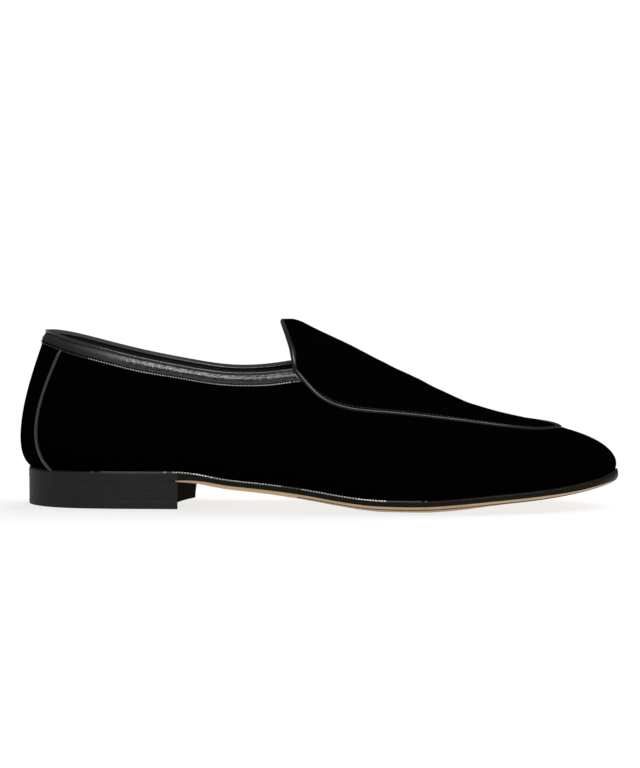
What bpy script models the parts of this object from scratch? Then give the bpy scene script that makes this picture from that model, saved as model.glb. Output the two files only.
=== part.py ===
"""Velvet slipper loafer, right foot: leather sole, stacked heel, hollow velvet upper, bound collar, piping.

Shoe coordinates: x runs from the back of the sole to the toe, y is minus on the outer side, z is up from the
floor. An empty at the end moves the whole shoe so that the middle of its outline stands over the origin.
"""

import math

import bpy
import numpy as np

MM = 0.001

# Sole
SOLE_LENGTH = 294 * MM
BALL_WIDTH = 100 * MM
HEEL_HEIGHT = 13.5 * MM
SOLE_THICKNESS = 4.6 * MM
TOE_SPRING = 12.4 * MM
CHAMFER_HEIGHT = 2 * MM
CHAMFER_WIDTH = 2.6 * MM
CHAMFER_START = 0.225
CHAMFER_FULL = 0.325
CHAMFER_FADE = 0.88
CHAMFER_AT_TOE = 0.45
EDGE_ROUND = 0.5 * MM
EDGE_RISE = 1.9 * MM
NOSE_RISE = 1.2 * MM
NOSE_START = 0.965
TREAD_INSET = 12 * MM

# Heel block
HEEL_LENGTH = 76.5 * MM
BREAST_HOLLOW = 5 * MM
BREAST_SLANT = 3.9 * MM
BREAST_FLARE = 2 * MM
HEEL_INSET = 0.3 * MM
HEEL_EDGE_ROUND = 0.6 * MM

# Upper
BACK_HEIGHT = 67.4 * MM
INSTEP_HEIGHT = 80.4 * MM
WALL = 2.2 * MM
EDGE_MARGIN = 1.8 * MM
FOOT_AT_JOINT = 0.47
GROOVE_DEPTH = 1.3 * MM
GROOVE_HALF = 1.7 * MM
GROOVE_FADE = 0.16
SPINE_END = 0.861

# Inside, collar and piping
INSOLE_THICKNESS = 2.5 * MM
INSOLE_BEVEL = 0.8 * MM
BINDING_WIDTH = 6.8 * MM
BINDING_THICKNESS = 0.9 * MM
BINDING_EDGE = 0.5 * MM
BINDING_LINING_GAP = 0.45 * MM
BINDING_END = 0.98
PIPING_RADIUS = 0.9 * MM
PIPING_ROLL = 0.22
HEEL_PIPING_RADIUS = 0.75 * MM
GAP = 0.3 * MM

# Half the back strip's width, as shares of the way round from the heel's middle to the joint with the tongue.
BACK_STRIP_TOP = 0.155
BACK_STRIP_FOOT = 0.184
BACK_STRIP_BOW = 0.039

OUTER, INNER = -1, 1
REAR_RIBS, FRONT_RIBS = 20, 22
WALL_ROWS, APRON_ROWS = 8, 7
HEEL_SIDE_POINTS, HEEL_BREAST_POINTS = 15, 10
HEEL_PIPING_POINTS = 15
CURVE_SAMPLES = 600
SHARP_ANGLE = math.radians(35)
STEP = 0.004

# The sole's outline. along is a share of SOLE_LENGTH, across of BALL_WIDTH, minus on the outer side.
OUTLINE = (
    dict(along=1.000, across=0.000),
    dict(along=0.986, across=-0.128),
    dict(along=0.948, across=-0.255),
    dict(along=0.885, across=-0.385),
    dict(along=0.795, across=-0.495),
    dict(along=0.690, across=-0.545),
    dict(along=0.590, across=-0.520),
    dict(along=0.480, across=-0.435),
    dict(along=0.360, across=-0.355),
    dict(along=0.240, across=-0.325),
    dict(along=0.125, across=-0.318),
    dict(along=0.045, across=-0.247),
    dict(along=0.009, across=-0.130),
    dict(along=-0.0025, across=0.000),
    dict(along=0.009, across=0.130),
    dict(along=0.045, across=0.243),
    dict(along=0.125, across=0.308),
    dict(along=0.240, across=0.300),
    dict(along=0.350, across=0.258),
    dict(along=0.450, across=0.250),
    dict(along=0.550, across=0.320),
    dict(along=0.655, across=0.420),
    dict(along=0.755, across=0.456),
    dict(along=0.850, across=0.410),
    dict(along=0.930, across=0.288),
    dict(along=0.981, across=0.145),
    dict(along=1.000, across=0.000),
)

# The sole's underside: heel is a share of HEEL_HEIGHT, spring of TOE_SPRING, and edge of EDGE_RISE, by which
# the sole's edge lies higher than its middle.
SOLE_RISE = (
    dict(along=0.000, heel=1.000, spring=0.000, edge=0.00),
    dict(along=0.285, heel=1.000, spring=0.000, edge=0.00),
    dict(along=0.300, heel=0.905, spring=0.000, edge=0.04),
    dict(along=0.330, heel=0.725, spring=0.000, edge=0.25),
    dict(along=0.370, heel=0.620, spring=0.000, edge=0.45),
    dict(along=0.410, heel=0.520, spring=0.000, edge=0.65),
    dict(along=0.470, heel=0.345, spring=0.000, edge=0.90),
    dict(along=0.530, heel=0.145, spring=0.000, edge=0.93),
    dict(along=0.570, heel=0.040, spring=0.000, edge=0.90),
    dict(along=0.605, heel=0.000, spring=0.000, edge=0.85),
    dict(along=0.675, heel=0.000, spring=0.000, edge=0.85),
    dict(along=0.720, heel=0.000, spring=0.050, edge=0.95),
    dict(along=0.800, heel=0.000, spring=0.245, edge=0.72),
    dict(along=0.875, heel=0.000, spring=0.425, edge=0.40),
    dict(along=0.950, heel=0.000, spring=0.715, edge=0.12),
    dict(along=1.000, heel=0.000, spring=1.000, edge=0.00),
)

# The collar's edge from the heel to the joint with the tongue. up is a share of BACK_HEIGHT above the sole.
COLLAR = (
    dict(along=0.029, across=0.000, outer_up=1.005, inner_up=1.005),
    dict(along=0.037, across=0.095, outer_up=1.012, inner_up=1.000),
    dict(along=0.066, across=0.180, outer_up=0.973, inner_up=0.974),
    dict(along=0.119, across=0.240, outer_up=0.912, inner_up=0.911),
    dict(along=0.187, across=0.265, outer_up=0.840, inner_up=0.836),
    dict(along=0.265, across=0.280, outer_up=0.774, inner_up=0.768),
    dict(along=0.340, across=0.290, outer_up=0.789, inner_up=0.785),
    dict(along=0.404, across=0.293, outer_up=0.821, inner_up=0.827),
    dict(along=0.457, across=0.290, outer_up=0.877, inner_up=0.894),
)

# The apron seam from the joint to its tip. up is a share of INSTEP_HEIGHT above the sole.
SEAM = (
    dict(along=0.477, across=0.315, outer_up=0.663, inner_up=0.679),
    dict(along=0.501, across=0.345, outer_up=0.598, inner_up=0.613),
    dict(along=0.541, across=0.370, outer_up=0.560, inner_up=0.575),
    dict(along=0.605, across=0.355, outer_up=0.548, inner_up=0.563),
    dict(along=0.680, across=0.310, outer_up=0.518, inner_up=0.533),
    dict(along=0.755, across=0.260, outer_up=0.461, inner_up=0.476),
    dict(along=0.826, across=0.195, outer_up=0.396, inner_up=0.418),
    dict(along=0.874, across=0.115, outer_up=0.363, inner_up=0.383),
    dict(along=0.895, across=0.050, outer_up=0.354, inner_up=0.361),
    dict(along=0.901, across=0.000, outer_up=0.350, inner_up=0.350),
)

# The instep's ridge from the tongue's peak forwards: across is a share of BALL_WIDTH, up of INSTEP_HEIGHT.
RIDGE = (
    dict(along=0.434, across=0.000, up=1.018),
    dict(along=0.449, across=0.000, up=1.024),
    dict(along=0.476, across=0.003, up=0.998),
    dict(along=0.544, across=0.010, up=0.917),
    dict(along=0.612, across=0.015, up=0.806),
    dict(along=0.680, across=0.018, up=0.685),
    dict(along=0.748, across=0.015, up=0.549),
    dict(along=0.816, across=0.008, up=0.434),
    dict(along=0.861, across=0.003, up=0.378),
    dict(along=0.901, across=0.000, up=0.350),
)

# The wall's rise at stations from the heel (0) past the joint (1) to the toe (2). Leans are degrees outwards
# from upright at the foot and inwards at the shoulder, reaches are shares of the rib's chord.
WALL_RIBS = (
    dict(station=0.00, foot_lean=59, foot_reach=0.22, top_lean=21, top_reach=0.39),
    dict(station=0.25, foot_lean=44, foot_reach=0.22, top_lean=14, top_reach=0.38),
    dict(station=0.60, foot_lean=30, foot_reach=0.25, top_lean=10, top_reach=0.36),
    dict(station=1.00, foot_lean=20, foot_reach=0.28, top_lean=16, top_reach=0.34),
    dict(station=1.25, foot_lean=14, foot_reach=0.32, top_lean=28, top_reach=0.34),
    dict(station=1.50, foot_lean=10, foot_reach=0.34, top_lean=44, top_reach=0.36),
    dict(station=1.75, foot_lean=13, foot_reach=0.34, top_lean=60, top_reach=0.40),
    dict(station=2.00, foot_lean=25, foot_reach=0.27, top_lean=77, top_reach=0.57),
)
APRON_SIDE_REACH = 0.34
APRON_RIDGE_REACH = 0.36


def column(table, name):
    return np.array([row[name] for row in table], float)


def spline(knots, values):
    """A natural cubic spline through the values, as a function of the knots' own parameter."""
    knots = np.asarray(knots, float)
    values = np.asarray(values, float)
    steps = np.diff(knots)
    system = np.eye(len(knots))
    right = np.zeros(values.shape)
    for i in range(1, len(knots) - 1):
        system[i, i - 1:i + 2] = steps[i - 1], 2 * (steps[i - 1] + steps[i]), steps[i]
        right[i] = 6 * ((values[i + 1] - values[i]) / steps[i] - (values[i] - values[i - 1]) / steps[i - 1])
    bends = np.linalg.solve(system, right)

    def at(where):
        where = np.clip(np.asarray(where, float), knots[0], knots[-1])
        i = np.clip(np.searchsorted(knots, where, side="right") - 1, 0, len(steps) - 1)
        step = steps[i]
        before = (knots[i + 1] - where) / step
        after = 1 - before
        if values.ndim > 1:
            step, before, after = (x[..., None] for x in (step, before, after))
        curve = (before**3 - before) * bends[i] + (after**3 - after) * bends[i + 1]
        return before * values[i] + after * values[i + 1] + curve * step**2 / 6

    return at


def rise(knots, values):
    """A curve through the values that never overshoots, so that level stretches stay level."""
    knots = np.asarray(knots, float)
    values = np.asarray(values, float)
    steps = np.diff(knots)
    slopes = np.diff(values) / steps
    tangents = np.zeros(len(knots))
    for i in range(1, len(knots) - 1):
        if slopes[i - 1] * slopes[i] > 0:
            tangents[i] = 2 / (1 / slopes[i - 1] + 1 / slopes[i])
    tangents[-1] = slopes[-1]

    def at(where):
        where = np.clip(np.asarray(where, float), knots[0], knots[-1])
        i = np.clip(np.searchsorted(knots, where, side="right") - 1, 0, len(steps) - 1)
        s = (where - knots[i]) / steps[i]
        start = (1 + 2 * s) * (1 - s) ** 2 * values[i] + s * (1 - s) ** 2 * steps[i] * tangents[i]
        end = s**2 * (3 - 2 * s) * values[i + 1] - s**2 * (1 - s) * steps[i] * tangents[i + 1]
        return start + end

    return at


def track(points, middle, closed=False):
    """A smooth curve through points, from points[middle] (share 0) to its end on either side (share 1)."""
    points = np.asarray(points, float)
    wrap = 3 if closed else 0
    laid = np.concatenate([points[-1 - wrap:-1], points, points[1:1 + wrap]]) if closed else points
    knots = np.concatenate([[0], np.cumsum(np.linalg.norm(np.diff(laid, axis=0), axis=1))])
    through = spline(knots, laid)
    first, centre, last = knots[wrap], knots[wrap + middle], knots[len(laid) - 1 - wrap]
    halves = {}
    for side, end in ((OUTER, first), (INNER, last)):
        marks = np.linspace(centre, end, CURVE_SAMPLES)
        lengths = np.cumsum(np.linalg.norm(np.diff(through(marks), axis=0), axis=1))
        halves[side] = (np.concatenate([[0], lengths / lengths[-1]]), marks)

    def at(side, share):
        shares, marks = halves[side]
        return through(np.interp(share, shares, marks))

    return at


def bezier(start, start_handle, end_handle, end, share):
    s = np.asarray(share, float)[..., None]
    return ((1 - s) ** 3 * start + 3 * s * (1 - s) ** 2 * start_handle
            + 3 * s**2 * (1 - s) * end_handle + s**3 * end)


def unit(vectors):
    return vectors / np.linalg.norm(vectors, axis=-1, keepdims=True)


outline = track(
    [(r["along"] * SOLE_LENGTH, r["across"] * BALL_WIDTH) for r in OUTLINE],
    int(np.argmin(column(OUTLINE, "along"))),
    closed=True,
)
heel_rise = rise(column(SOLE_RISE, "along"), column(SOLE_RISE, "heel"))
spring_rise = rise(column(SOLE_RISE, "along"), column(SOLE_RISE, "spring"))
edge_rise = rise(column(SOLE_RISE, "along"), column(SOLE_RISE, "edge"))


def sole_bottom(x):
    along = np.asarray(x) / SOLE_LENGTH
    return heel_rise(along) * HEEL_HEIGHT + spring_rise(along) * TOE_SPRING


def sole_top(x):
    return sole_bottom(x) + SOLE_THICKNESS


def edge_bottom(x):
    return sole_bottom(x) + edge_rise(np.asarray(x) / SOLE_LENGTH) * EDGE_RISE


def edge_top(x):
    """The edge's upper side, which curls up a little at the toe's tip."""
    nose = np.clip((np.asarray(x) / SOLE_LENGTH - NOSE_START) / (1 - NOSE_START), 0, 1)
    return edge_bottom(x) + SOLE_THICKNESS + nose**2 * NOSE_RISE


def outline_normal(side, share):
    """The level direction that points out of the sole at this share of its edge."""
    share = np.asarray(share, float)
    ahead = outline(side, np.minimum(share + STEP / 2, 1))
    behind = outline(side, np.maximum(share - STEP / 2, 0))
    tangent = unit(ahead - behind)
    normal = side * np.stack([-tangent[..., 1], tangent[..., 0]], axis=-1)
    # The curve crosses its own middle line squarely at the heel's back and at the toe's tip.
    normal = np.where((share <= 0)[..., None], (-1.0, 0.0), normal)
    return np.where((share >= 1)[..., None], (1.0, 0.0), normal)


def edge_point(side, share, inset):
    """The point at this share of the sole's edge, moved inwards, in plan."""
    return outline(side, share) - inset * outline_normal(side, share)


def chamfer(x):
    """How much of the chamfer under the edge there is: none over the heel, and less again towards the toe."""
    along = np.asarray(x) / SOLE_LENGTH
    grown = np.clip((along - CHAMFER_START) / (CHAMFER_FULL - CHAMFER_START), 0, 1)
    faded = np.clip((along - CHAMFER_FADE) / (1 - CHAMFER_FADE), 0, 1)
    return grown * grown * (3 - 2 * grown) * (1 - (1 - CHAMFER_AT_TOE) * faded)


def edge_ring(inset, height, chamfered=0.0):
    """Points round the sole from the heel's back, by the outer side and the toe, at height(x)."""
    halves = []
    for side in (OUTER, INNER):
        edge = outline(side, foot_share(STATIONS))
        reach = inset + chamfered * chamfer(edge[:, :1])
        halves.append(edge - reach * outline_normal(side, foot_share(STATIONS)))
    plan = np.concatenate([halves[0], halves[1][-2:0:-1]])
    return np.column_stack([plan, height(plan[:, 0])])


def heights(table, scale):
    """Rows of a two-sided table as points on the outer side, then the middle row, then the inner side."""
    outer = [(r["along"] * SOLE_LENGTH, -r["across"] * BALL_WIDTH, r["outer_up"] * scale) for r in table]
    inner = [(r["along"] * SOLE_LENGTH, r["across"] * BALL_WIDTH, r["inner_up"] * scale) for r in table]
    points = {OUTER: np.array(outer), INNER: np.array(inner)}
    for side in points:
        points[side][:, 2] += sole_top(points[side][:, 0])
    return points


collar_points = heights(COLLAR, BACK_HEIGHT)
seam_points = heights(SEAM, INSTEP_HEIGHT)
collar = track([*collar_points[OUTER][::-1], *collar_points[INNER][1:]], len(COLLAR) - 1)
seam = track(
    [collar_points[OUTER][-1], *seam_points[OUTER], *seam_points[INNER][-2::-1], collar_points[INNER][-1]],
    len(SEAM),
)
ridge_along = spline(column(RIDGE, "along"), column(RIDGE, "across") * BALL_WIDTH)
ridge_up = spline(column(RIDGE, "along"), column(RIDGE, "up") * INSTEP_HEIGHT)


def ridge(along):
    x = np.asarray(along) * SOLE_LENGTH
    return np.stack([x, ridge_along(along), ridge_up(along) + sole_top(x)], axis=-1)


def foot_share(station):
    """Where a rib stands on the sole's edge. Stations: 0 heel, 1 joint, 2 toe."""
    station = np.asarray(station, float)
    rear = station * FOOT_AT_JOINT
    front = FOOT_AT_JOINT + (station - 1) * (1 - FOOT_AT_JOINT)
    return np.where(station <= 1, rear, front)


def shoulder(side, station):
    """The top of a wall rib, on the collar behind the joint and on the apron seam in front of it."""
    station = np.asarray(station, float)
    forward = np.clip(station - 1, 0, 1)
    along_seam = forward * (1.25 - 0.25 * forward**3)
    on_collar = collar(side, np.clip(station, 0, 1))
    on_seam = seam(side, 1 - along_seam)
    return np.where((station <= 1)[..., None], on_collar, on_seam)


def rib_setting(name):
    return spline(column(WALL_RIBS, "station"), column(WALL_RIBS, name))


foot_lean, foot_reach = rib_setting("foot_lean"), rib_setting("foot_reach")
top_lean, top_reach = rib_setting("top_lean"), rib_setting("top_reach")
UP = np.array([0.0, 0.0, 1.0])

# Where the ribs stand, closer together round the heel and round the toe.
REAR_STATIONS = np.append(BINDING_END * np.linspace(0, 1, REAR_RIBS) ** 1.3, 1)
FRONT_STEPS = np.linspace(0, 1, FRONT_RIBS + 1)
FRONT_SHARES = FRONT_STEPS - 0.06 * np.sin(2 * math.pi * FRONT_STEPS)
STATIONS = np.concatenate([REAR_STATIONS, 1 + FRONT_SHARES[1:]])


def outwards(side, station):
    plan = outline_normal(side, foot_share(station))
    return np.concatenate([plan, np.zeros(plan.shape[:-1] + (1,))], axis=-1)


def wall(side, station, share):
    """The upper's outer face between the sole (share 0) and the collar or apron seam (share 1)."""
    station = np.asarray(station, float)
    foot_plan = edge_point(side, foot_share(station), EDGE_MARGIN)
    foot = np.concatenate([foot_plan, (edge_top(foot_plan[..., 0]) + GAP)[..., None]], axis=-1)
    top = shoulder(side, station)
    out = outwards(side, station)
    chord = np.linalg.norm(top - foot, axis=-1)[..., None]
    low = np.radians(foot_lean(station))[..., None]
    high = np.radians(top_lean(station))[..., None]
    foot_handle = foot + foot_reach(station)[..., None] * chord * (np.sin(low) * out + np.cos(low) * UP)
    top_handle = top + top_reach(station)[..., None] * chord * (np.sin(high) * out - np.cos(high) * UP)
    return bezier(foot, foot_handle, top_handle, top, share)


def apron(side, forward, share):
    """The apron and tongue from the seam (share 0) to the ridge (share 1). forward is 0 at the joint."""
    forward = np.asarray(forward, float)
    start = shoulder(side, 1 + forward)
    peak = RIDGE[0]["along"]
    along = peak + (SPINE_END - peak) * forward * (1.5 - 0.5 * forward**2)
    end = ridge(along)
    behind = np.maximum(along - STEP, peak)
    ahead = along + STEP
    slope = (ridge(ahead) - ridge(behind))[..., 2] / ((ahead - behind) * SOLE_LENGTH)
    out = outwards(side, 1 + forward)
    chord = np.linalg.norm(end - start, axis=-1)[..., None]
    high = np.radians(top_lean(1 + forward))[..., None]
    start_handle = start + APRON_SIDE_REACH * chord * (np.cos(high) * UP - np.sin(high) * out)
    level = unit((start - end)[..., :2] * np.stack([forward, np.ones(forward.shape)], axis=-1))
    across = np.concatenate([level, (level[..., 0] * slope)[..., None]], axis=-1)
    end_handle = end + APRON_RIDGE_REACH * chord * across
    return bezier(start, start_handle, end_handle, end, share)


def normal_of(surface, side, station, share):
    """The outward unit normal of a surface function."""
    station = np.asarray(station, float)
    share = np.asarray(share, float)
    along = surface(side, station + STEP, share) - surface(side, station - STEP, share)
    above, below = np.minimum(share + STEP, 1), np.maximum(share - STEP, 0)
    up = surface(side, station, above) - surface(side, station, below)
    return unit(side * np.cross(up, along))


def share_below(surface, side, station, depth):
    """The share of a rib that lies this far below its top, or above its start when depth is negative."""
    shares = np.linspace(0, 1, CURVE_SAMPLES // 3)
    points = surface(side, np.full(len(shares), station), shares)
    lengths = np.concatenate([[0], np.cumsum(np.linalg.norm(np.diff(points, axis=0), axis=1))])
    target = lengths[-1] - depth if depth >= 0 else -depth
    return float(np.interp(target, lengths, shares))


def groove(forward):
    """How deep the apron seam lies at this share of the way from the joint to the tip."""
    fade = min(max(forward / GROOVE_FADE, 0), 1)
    return GROOVE_DEPTH * fade * fade * (3 - 2 * fade)


def seam_normal(side, station):
    """The wall's outward normal close under its top, where the seam's own height can't turn it."""
    return normal_of(wall, side, min(station, 2 - 2 * STEP), 0.97)


def wall_rib(side, station):
    """Points up one rib of the wall, sunk at its top where the apron seam passes."""
    near_top = share_below(wall, side, station, GROOVE_HALF)
    shares = np.append(np.linspace(0, near_top, WALL_ROWS), 1.0)
    points = wall(side, np.full(len(shares), station), shares)
    points[-1] -= groove(station - 1) * seam_normal(side, station)
    return points


def apron_row_shares(side, forward):
    """The shares of one rib of the apron at its rows, after the seam's own."""
    return np.linspace(share_below(apron, side, forward, -GROOVE_HALF), 1, APRON_ROWS)


def apron_rib(side, forward):
    return apron(side, np.full(APRON_ROWS, forward), apron_row_shares(side, forward))


def mesh_object(name, points, faces, finish):
    mesh = bpy.data.meshes.new(name)
    mesh.from_pydata([tuple(p) for p in points], [], faces)
    mesh.validate()
    mesh.shade_smooth()
    mesh.set_sharp_from_angle(angle=SHARP_ANGLE)
    mesh.materials.append(finish)
    obj = bpy.data.objects.new(name, mesh)
    shoe_parts.objects.link(obj)
    return obj


def material(name, color, roughness):
    made = bpy.data.materials.new(name)
    made.use_nodes = True
    shader = made.node_tree.nodes["Principled BSDF"]
    shader.inputs["Base Color"].default_value = (*color, 1)
    shader.inputs["Roughness"].default_value = roughness
    shader.inputs["Metallic"].default_value = 0
    return made


def ring_faces(count, rings):
    """Quads between each ring and the next, for rings of count points."""
    faces = []
    for r in range(rings - 1):
        for k in range(count):
            after = (k + 1) % count
            faces.append((r * count + k, r * count + after, (r + 1) * count + after, (r + 1) * count + k))
    return faces


def strip_cap(count, start):
    """A cap of strips across a ring whose points k and count - k face each other."""
    faces = [(start, start + 1, start + count - 1)]
    for k in range(1, count // 2 - 1):
        faces.append((start + k, start + k + 1, start + count - k - 1, start + count - k))
    half = count // 2
    faces.append((start + half - 1, start + half, start + half + 1))
    return faces


def plate(name, rings, finish):
    """A plate that bends along the shoe: its rings run from the underside to the top."""
    count = len(rings[0])
    faces = ring_faces(count, len(rings))
    top = (len(rings) - 1) * count
    faces += strip_cap(count, top)
    faces += [face[::-1] for face in strip_cap(count, 0)]
    return mesh_object(name, np.concatenate(rings), faces, finish)


def build_outsole(finish):
    def above_chamfer(x):
        return edge_bottom(x) + EDGE_ROUND / 2 + (CHAMFER_HEIGHT - EDGE_ROUND / 2) * chamfer(x)

    rings = [
        edge_ring(TREAD_INSET, sole_bottom),
        edge_ring(EDGE_ROUND, edge_bottom, CHAMFER_WIDTH - EDGE_ROUND),
        edge_ring(EDGE_ROUND / 2, above_chamfer),
        edge_ring(0, lambda x: above_chamfer(x) + EDGE_ROUND),
        edge_ring(0, lambda x: edge_top(x) - EDGE_ROUND),
        edge_ring(EDGE_ROUND, edge_top),
    ]
    return plate("outsole", rings, finish)


def build_insole(finish):
    inset = EDGE_MARGIN + WALL + GAP
    top = GAP + INSOLE_THICKNESS
    rings = [
        edge_ring(inset, lambda x: edge_top(x) + GAP),
        edge_ring(inset, lambda x: edge_top(x) + top - INSOLE_BEVEL),
        edge_ring(inset + INSOLE_BEVEL, lambda x: edge_top(x) + top),
    ]
    return plate("insole", rings, finish)


def heel_ring(inset, z, flare):
    """The heel's outline: the sole's edge round the back, then the hollow breast between its two corners."""
    sides = {}
    for side, reach in ((OUTER, 0), (INNER, BREAST_SLANT + flare)):
        shares = np.linspace(0, 1, CURVE_SAMPLES)
        edge = edge_point(side, shares, HEEL_INSET + inset)
        corner = np.interp(HEEL_LENGTH + reach - inset, edge[:, 0], shares)
        sides[side] = edge_point(side, np.linspace(0, corner, HEEL_SIDE_POINTS), HEEL_INSET + inset)
    start, end = sides[OUTER][-1], sides[INNER][-1]
    arc = []
    for share in np.linspace(0, 1, HEEL_BREAST_POINTS + 2)[1:-1]:
        middle = start + (end - start) * share
        middle = middle - (4 * share * (1 - share) * BREAST_HOLLOW, 0)
        arc.append(middle)
    plan = np.concatenate([sides[OUTER], arc, sides[INNER][:0:-1]])
    return np.column_stack([plan, np.full(len(plan), z)])


def build_heel(finish):
    top = HEEL_HEIGHT - GAP
    rings = [
        heel_ring(HEEL_EDGE_ROUND, 0, 0),
        heel_ring(0, HEEL_EDGE_ROUND, 0),
        heel_ring(0, top / 2, BREAST_FLARE * 0.35),
        heel_ring(0, top, BREAST_FLARE),
    ]
    count = len(rings[0])
    last = (len(rings) - 1) * count
    faces = ring_faces(count, len(rings))
    faces.append(tuple(range(last, last + count)))
    faces.append(tuple(range(count - 1, -1, -1)))
    return mesh_object("heel", np.concatenate(rings), faces, finish)


def build_upper(finish):
    """The hollow upper: one wall from the sole to the collar, with the apron and tongue closing its front."""
    ribs = [(OUTER, s) for s in STATIONS[::-1]] + [(INNER, s) for s in STATIONS[1:-1]]
    count = len(ribs)
    rows = WALL_ROWS + 1
    points = [p for rib in ribs for p in wall_rib(*rib)]
    faces = []
    for k in range(count):
        here, after = k * rows, (k + 1) % count * rows
        for r in range(rows - 1):
            faces.append((here + r, here + r + 1, after + r + 1, after + r))

    # Apron points by (side, front rib, row). Row 0 is the wall's own top and the last row the shared ridge.
    index = {}
    for k, (side, station) in enumerate(ribs):
        if station < 1:
            continue
        j = int(np.argmin(abs(FRONT_SHARES - (station - 1))))
        index[side, j, 0] = k * rows + rows - 1
        for r, p in enumerate(apron_rib(side, FRONT_SHARES[j]), 1):
            shared = index.get((-side, j, r)) if r == APRON_ROWS else None
            index[side, j, r] = shared if shared is not None else len(points)
            if shared is None:
                points.append(p)
    for r in range(APRON_ROWS + 1):
        index[INNER, FRONT_RIBS, r] = index[OUTER, FRONT_RIBS, r]
    for side in (OUTER, INNER):
        for j in range(FRONT_RIBS):
            for r in range(APRON_ROWS):
                corners = (j, r), (j + 1, r), (j + 1, r + 1), (j, r + 1)
                face = tuple(index[side, rib, row] for rib, row in corners)
                faces.append(face if side == OUTER else face[::-1])
    obj = mesh_object("upper", points, faces, finish)
    shell = obj.modifiers.new("wall", "SOLIDIFY")
    shell.thickness = WALL
    shell.offset = -1
    shell.use_even_offset = True
    shell.use_quality_normals = True
    return obj


def binding_section(side, station):
    """The binding's U section over the collar's edge, from the outer flap's hem to the inner flap's."""
    depths = (BINDING_WIDTH, BINDING_WIDTH * 0.5, BINDING_THICKNESS)
    shares = np.array([share_below(wall, side, station, d) for d in depths])
    base = wall(side, np.full(3, station), shares)
    normals = normal_of(wall, side, np.full(3, station), shares)
    top = wall(side, station, 1.0)
    out = normal_of(wall, side, station, 0.999)
    rising = unit(top - wall(side, station, 0.98))
    inside = -(WALL + BINDING_LINING_GAP)
    hem, full = BINDING_EDGE, BINDING_THICKNESS

    def on(i, distance):
        return base[i] + normals[i] * distance

    def over(distance, height):
        return top + out * distance + rising * height

    return np.array([
        on(0, GAP), on(0, GAP + hem), on(1, GAP + full), on(2, GAP + full),
        over(GAP + full * 0.4, GAP + full * 0.7), over(-WALL / 2, GAP + full),
        over(inside - full * 0.4, GAP + full * 0.7), on(2, inside - full), on(1, inside - full),
        on(0, inside - hem), on(0, inside), on(1, inside),
        over(inside, GAP), over(GAP, GAP), on(1, GAP),
    ])


def build_binding(finish):
    stations = REAR_STATIONS[:-1]
    ribs = [(OUTER, s) for s in stations[::-1]] + [(INNER, s) for s in stations[1:]]
    sections = [binding_section(side, station) for side, station in ribs]
    count = len(sections[0])
    last = (len(sections) - 1) * count
    faces = ring_faces(count, len(sections))
    faces.append(tuple(range(count - 1, -1, -1)))
    faces.append(tuple(range(last, last + count)))
    return mesh_object("collar_binding", np.concatenate(sections), faces, finish)


def tube(name, points, radius, closed, finish):
    curve = bpy.data.curves.new(name, "CURVE")
    curve.dimensions = "3D"
    curve.bevel_depth = radius
    curve.bevel_resolution = 1
    curve.use_fill_caps = not closed
    line = curve.splines.new("POLY")
    line.points.add(len(points) - 1)
    for place, p in zip(line.points, points):
        place.co = (*p, 1)
    line.use_cyclic_u = closed
    curve.materials.append(finish)
    obj = bpy.data.objects.new(name, curve)
    shoe_parts.objects.link(obj)
    return obj


def groove_width(side, forward):
    """Half the groove's width square to the seam, where the ribs cross the seam at a slant."""
    station = 1 + min(max(forward, STEP), 1 - STEP)
    along = unit(shoulder(side, station + STEP) - shoulder(side, station - STEP))
    up = unit(wall(side, station, 1.0) - wall(side, station, 0.98))
    return GROOVE_HALF * np.linalg.norm(np.cross(along, up))


def seam_piping_point(side, forward):
    """The piping's middle over the apron seam, as low as the groove's two faces let it lie."""
    depth = groove(forward)
    slope = depth / groove_width(side, forward)
    lift = (PIPING_RADIUS + GAP) * math.sqrt(1 + slope * slope) - depth
    return shoulder(side, 1 + forward) + lift * seam_normal(side, 1 + forward)


def tongue_piping_point(side, share):
    """The piping's middle along the tongue's free edge, which it rolls round to lie behind it."""
    edge = apron(side, 0.0, share)
    face = normal_of(apron, side, 0.006, min(max(share, 0.01), 0.99))
    along = unit(apron(side, 0.0, min(share + 0.01, 1)) - apron(side, 0.0, max(share - 0.01, 0)))
    behind = unit(side * np.cross(along, face))
    turn = min(share / PIPING_ROLL, 1) * math.pi / 2
    drop = min(max(share / PIPING_ROLL - 1, 0), 1) * WALL / 2
    reach = PIPING_RADIUS + GAP
    return edge + face * (reach * math.cos(turn) - drop) + behind * reach * math.sin(turn)


def build_apron_piping(finish):
    """One closed run: round the apron seam, then over the tongue's free edge."""
    seam_outer = [seam_piping_point(OUTER, f) for f in FRONT_SHARES]
    seam_inner = [seam_piping_point(INNER, f) for f in FRONT_SHARES[-2::-1]]
    tongue_inner = [tongue_piping_point(INNER, s) for s in apron_row_shares(INNER, 0.0)]
    tongue_outer = [tongue_piping_point(OUTER, s) for s in apron_row_shares(OUTER, 0.0)[-2::-1]]
    loop = [*seam_outer, *seam_inner, *tongue_inner, *tongue_outer]
    return tube("apron_piping", loop, PIPING_RADIUS, True, finish)


def build_heel_piping(name, side, finish):
    """The piping down each edge of the back strip, from under the binding to the sole."""
    lift = HEEL_PIPING_RADIUS + GAP
    points = []
    for share in np.linspace(1, 0, HEEL_PIPING_POINTS):
        station = BACK_STRIP_FOOT + (BACK_STRIP_TOP - BACK_STRIP_FOOT) * share
        station -= BACK_STRIP_BOW * math.sin(math.pi * share)
        foot = share_below(wall, side, station, -2 * HEEL_PIPING_RADIUS)
        top = share_below(wall, side, station, BINDING_WIDTH + HEEL_PIPING_RADIUS)
        height = foot + (top - foot) * share
        points.append(wall(side, station, height) + lift * normal_of(wall, side, station, height))
    return tube(name, points, HEEL_PIPING_RADIUS, False, finish)


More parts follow.
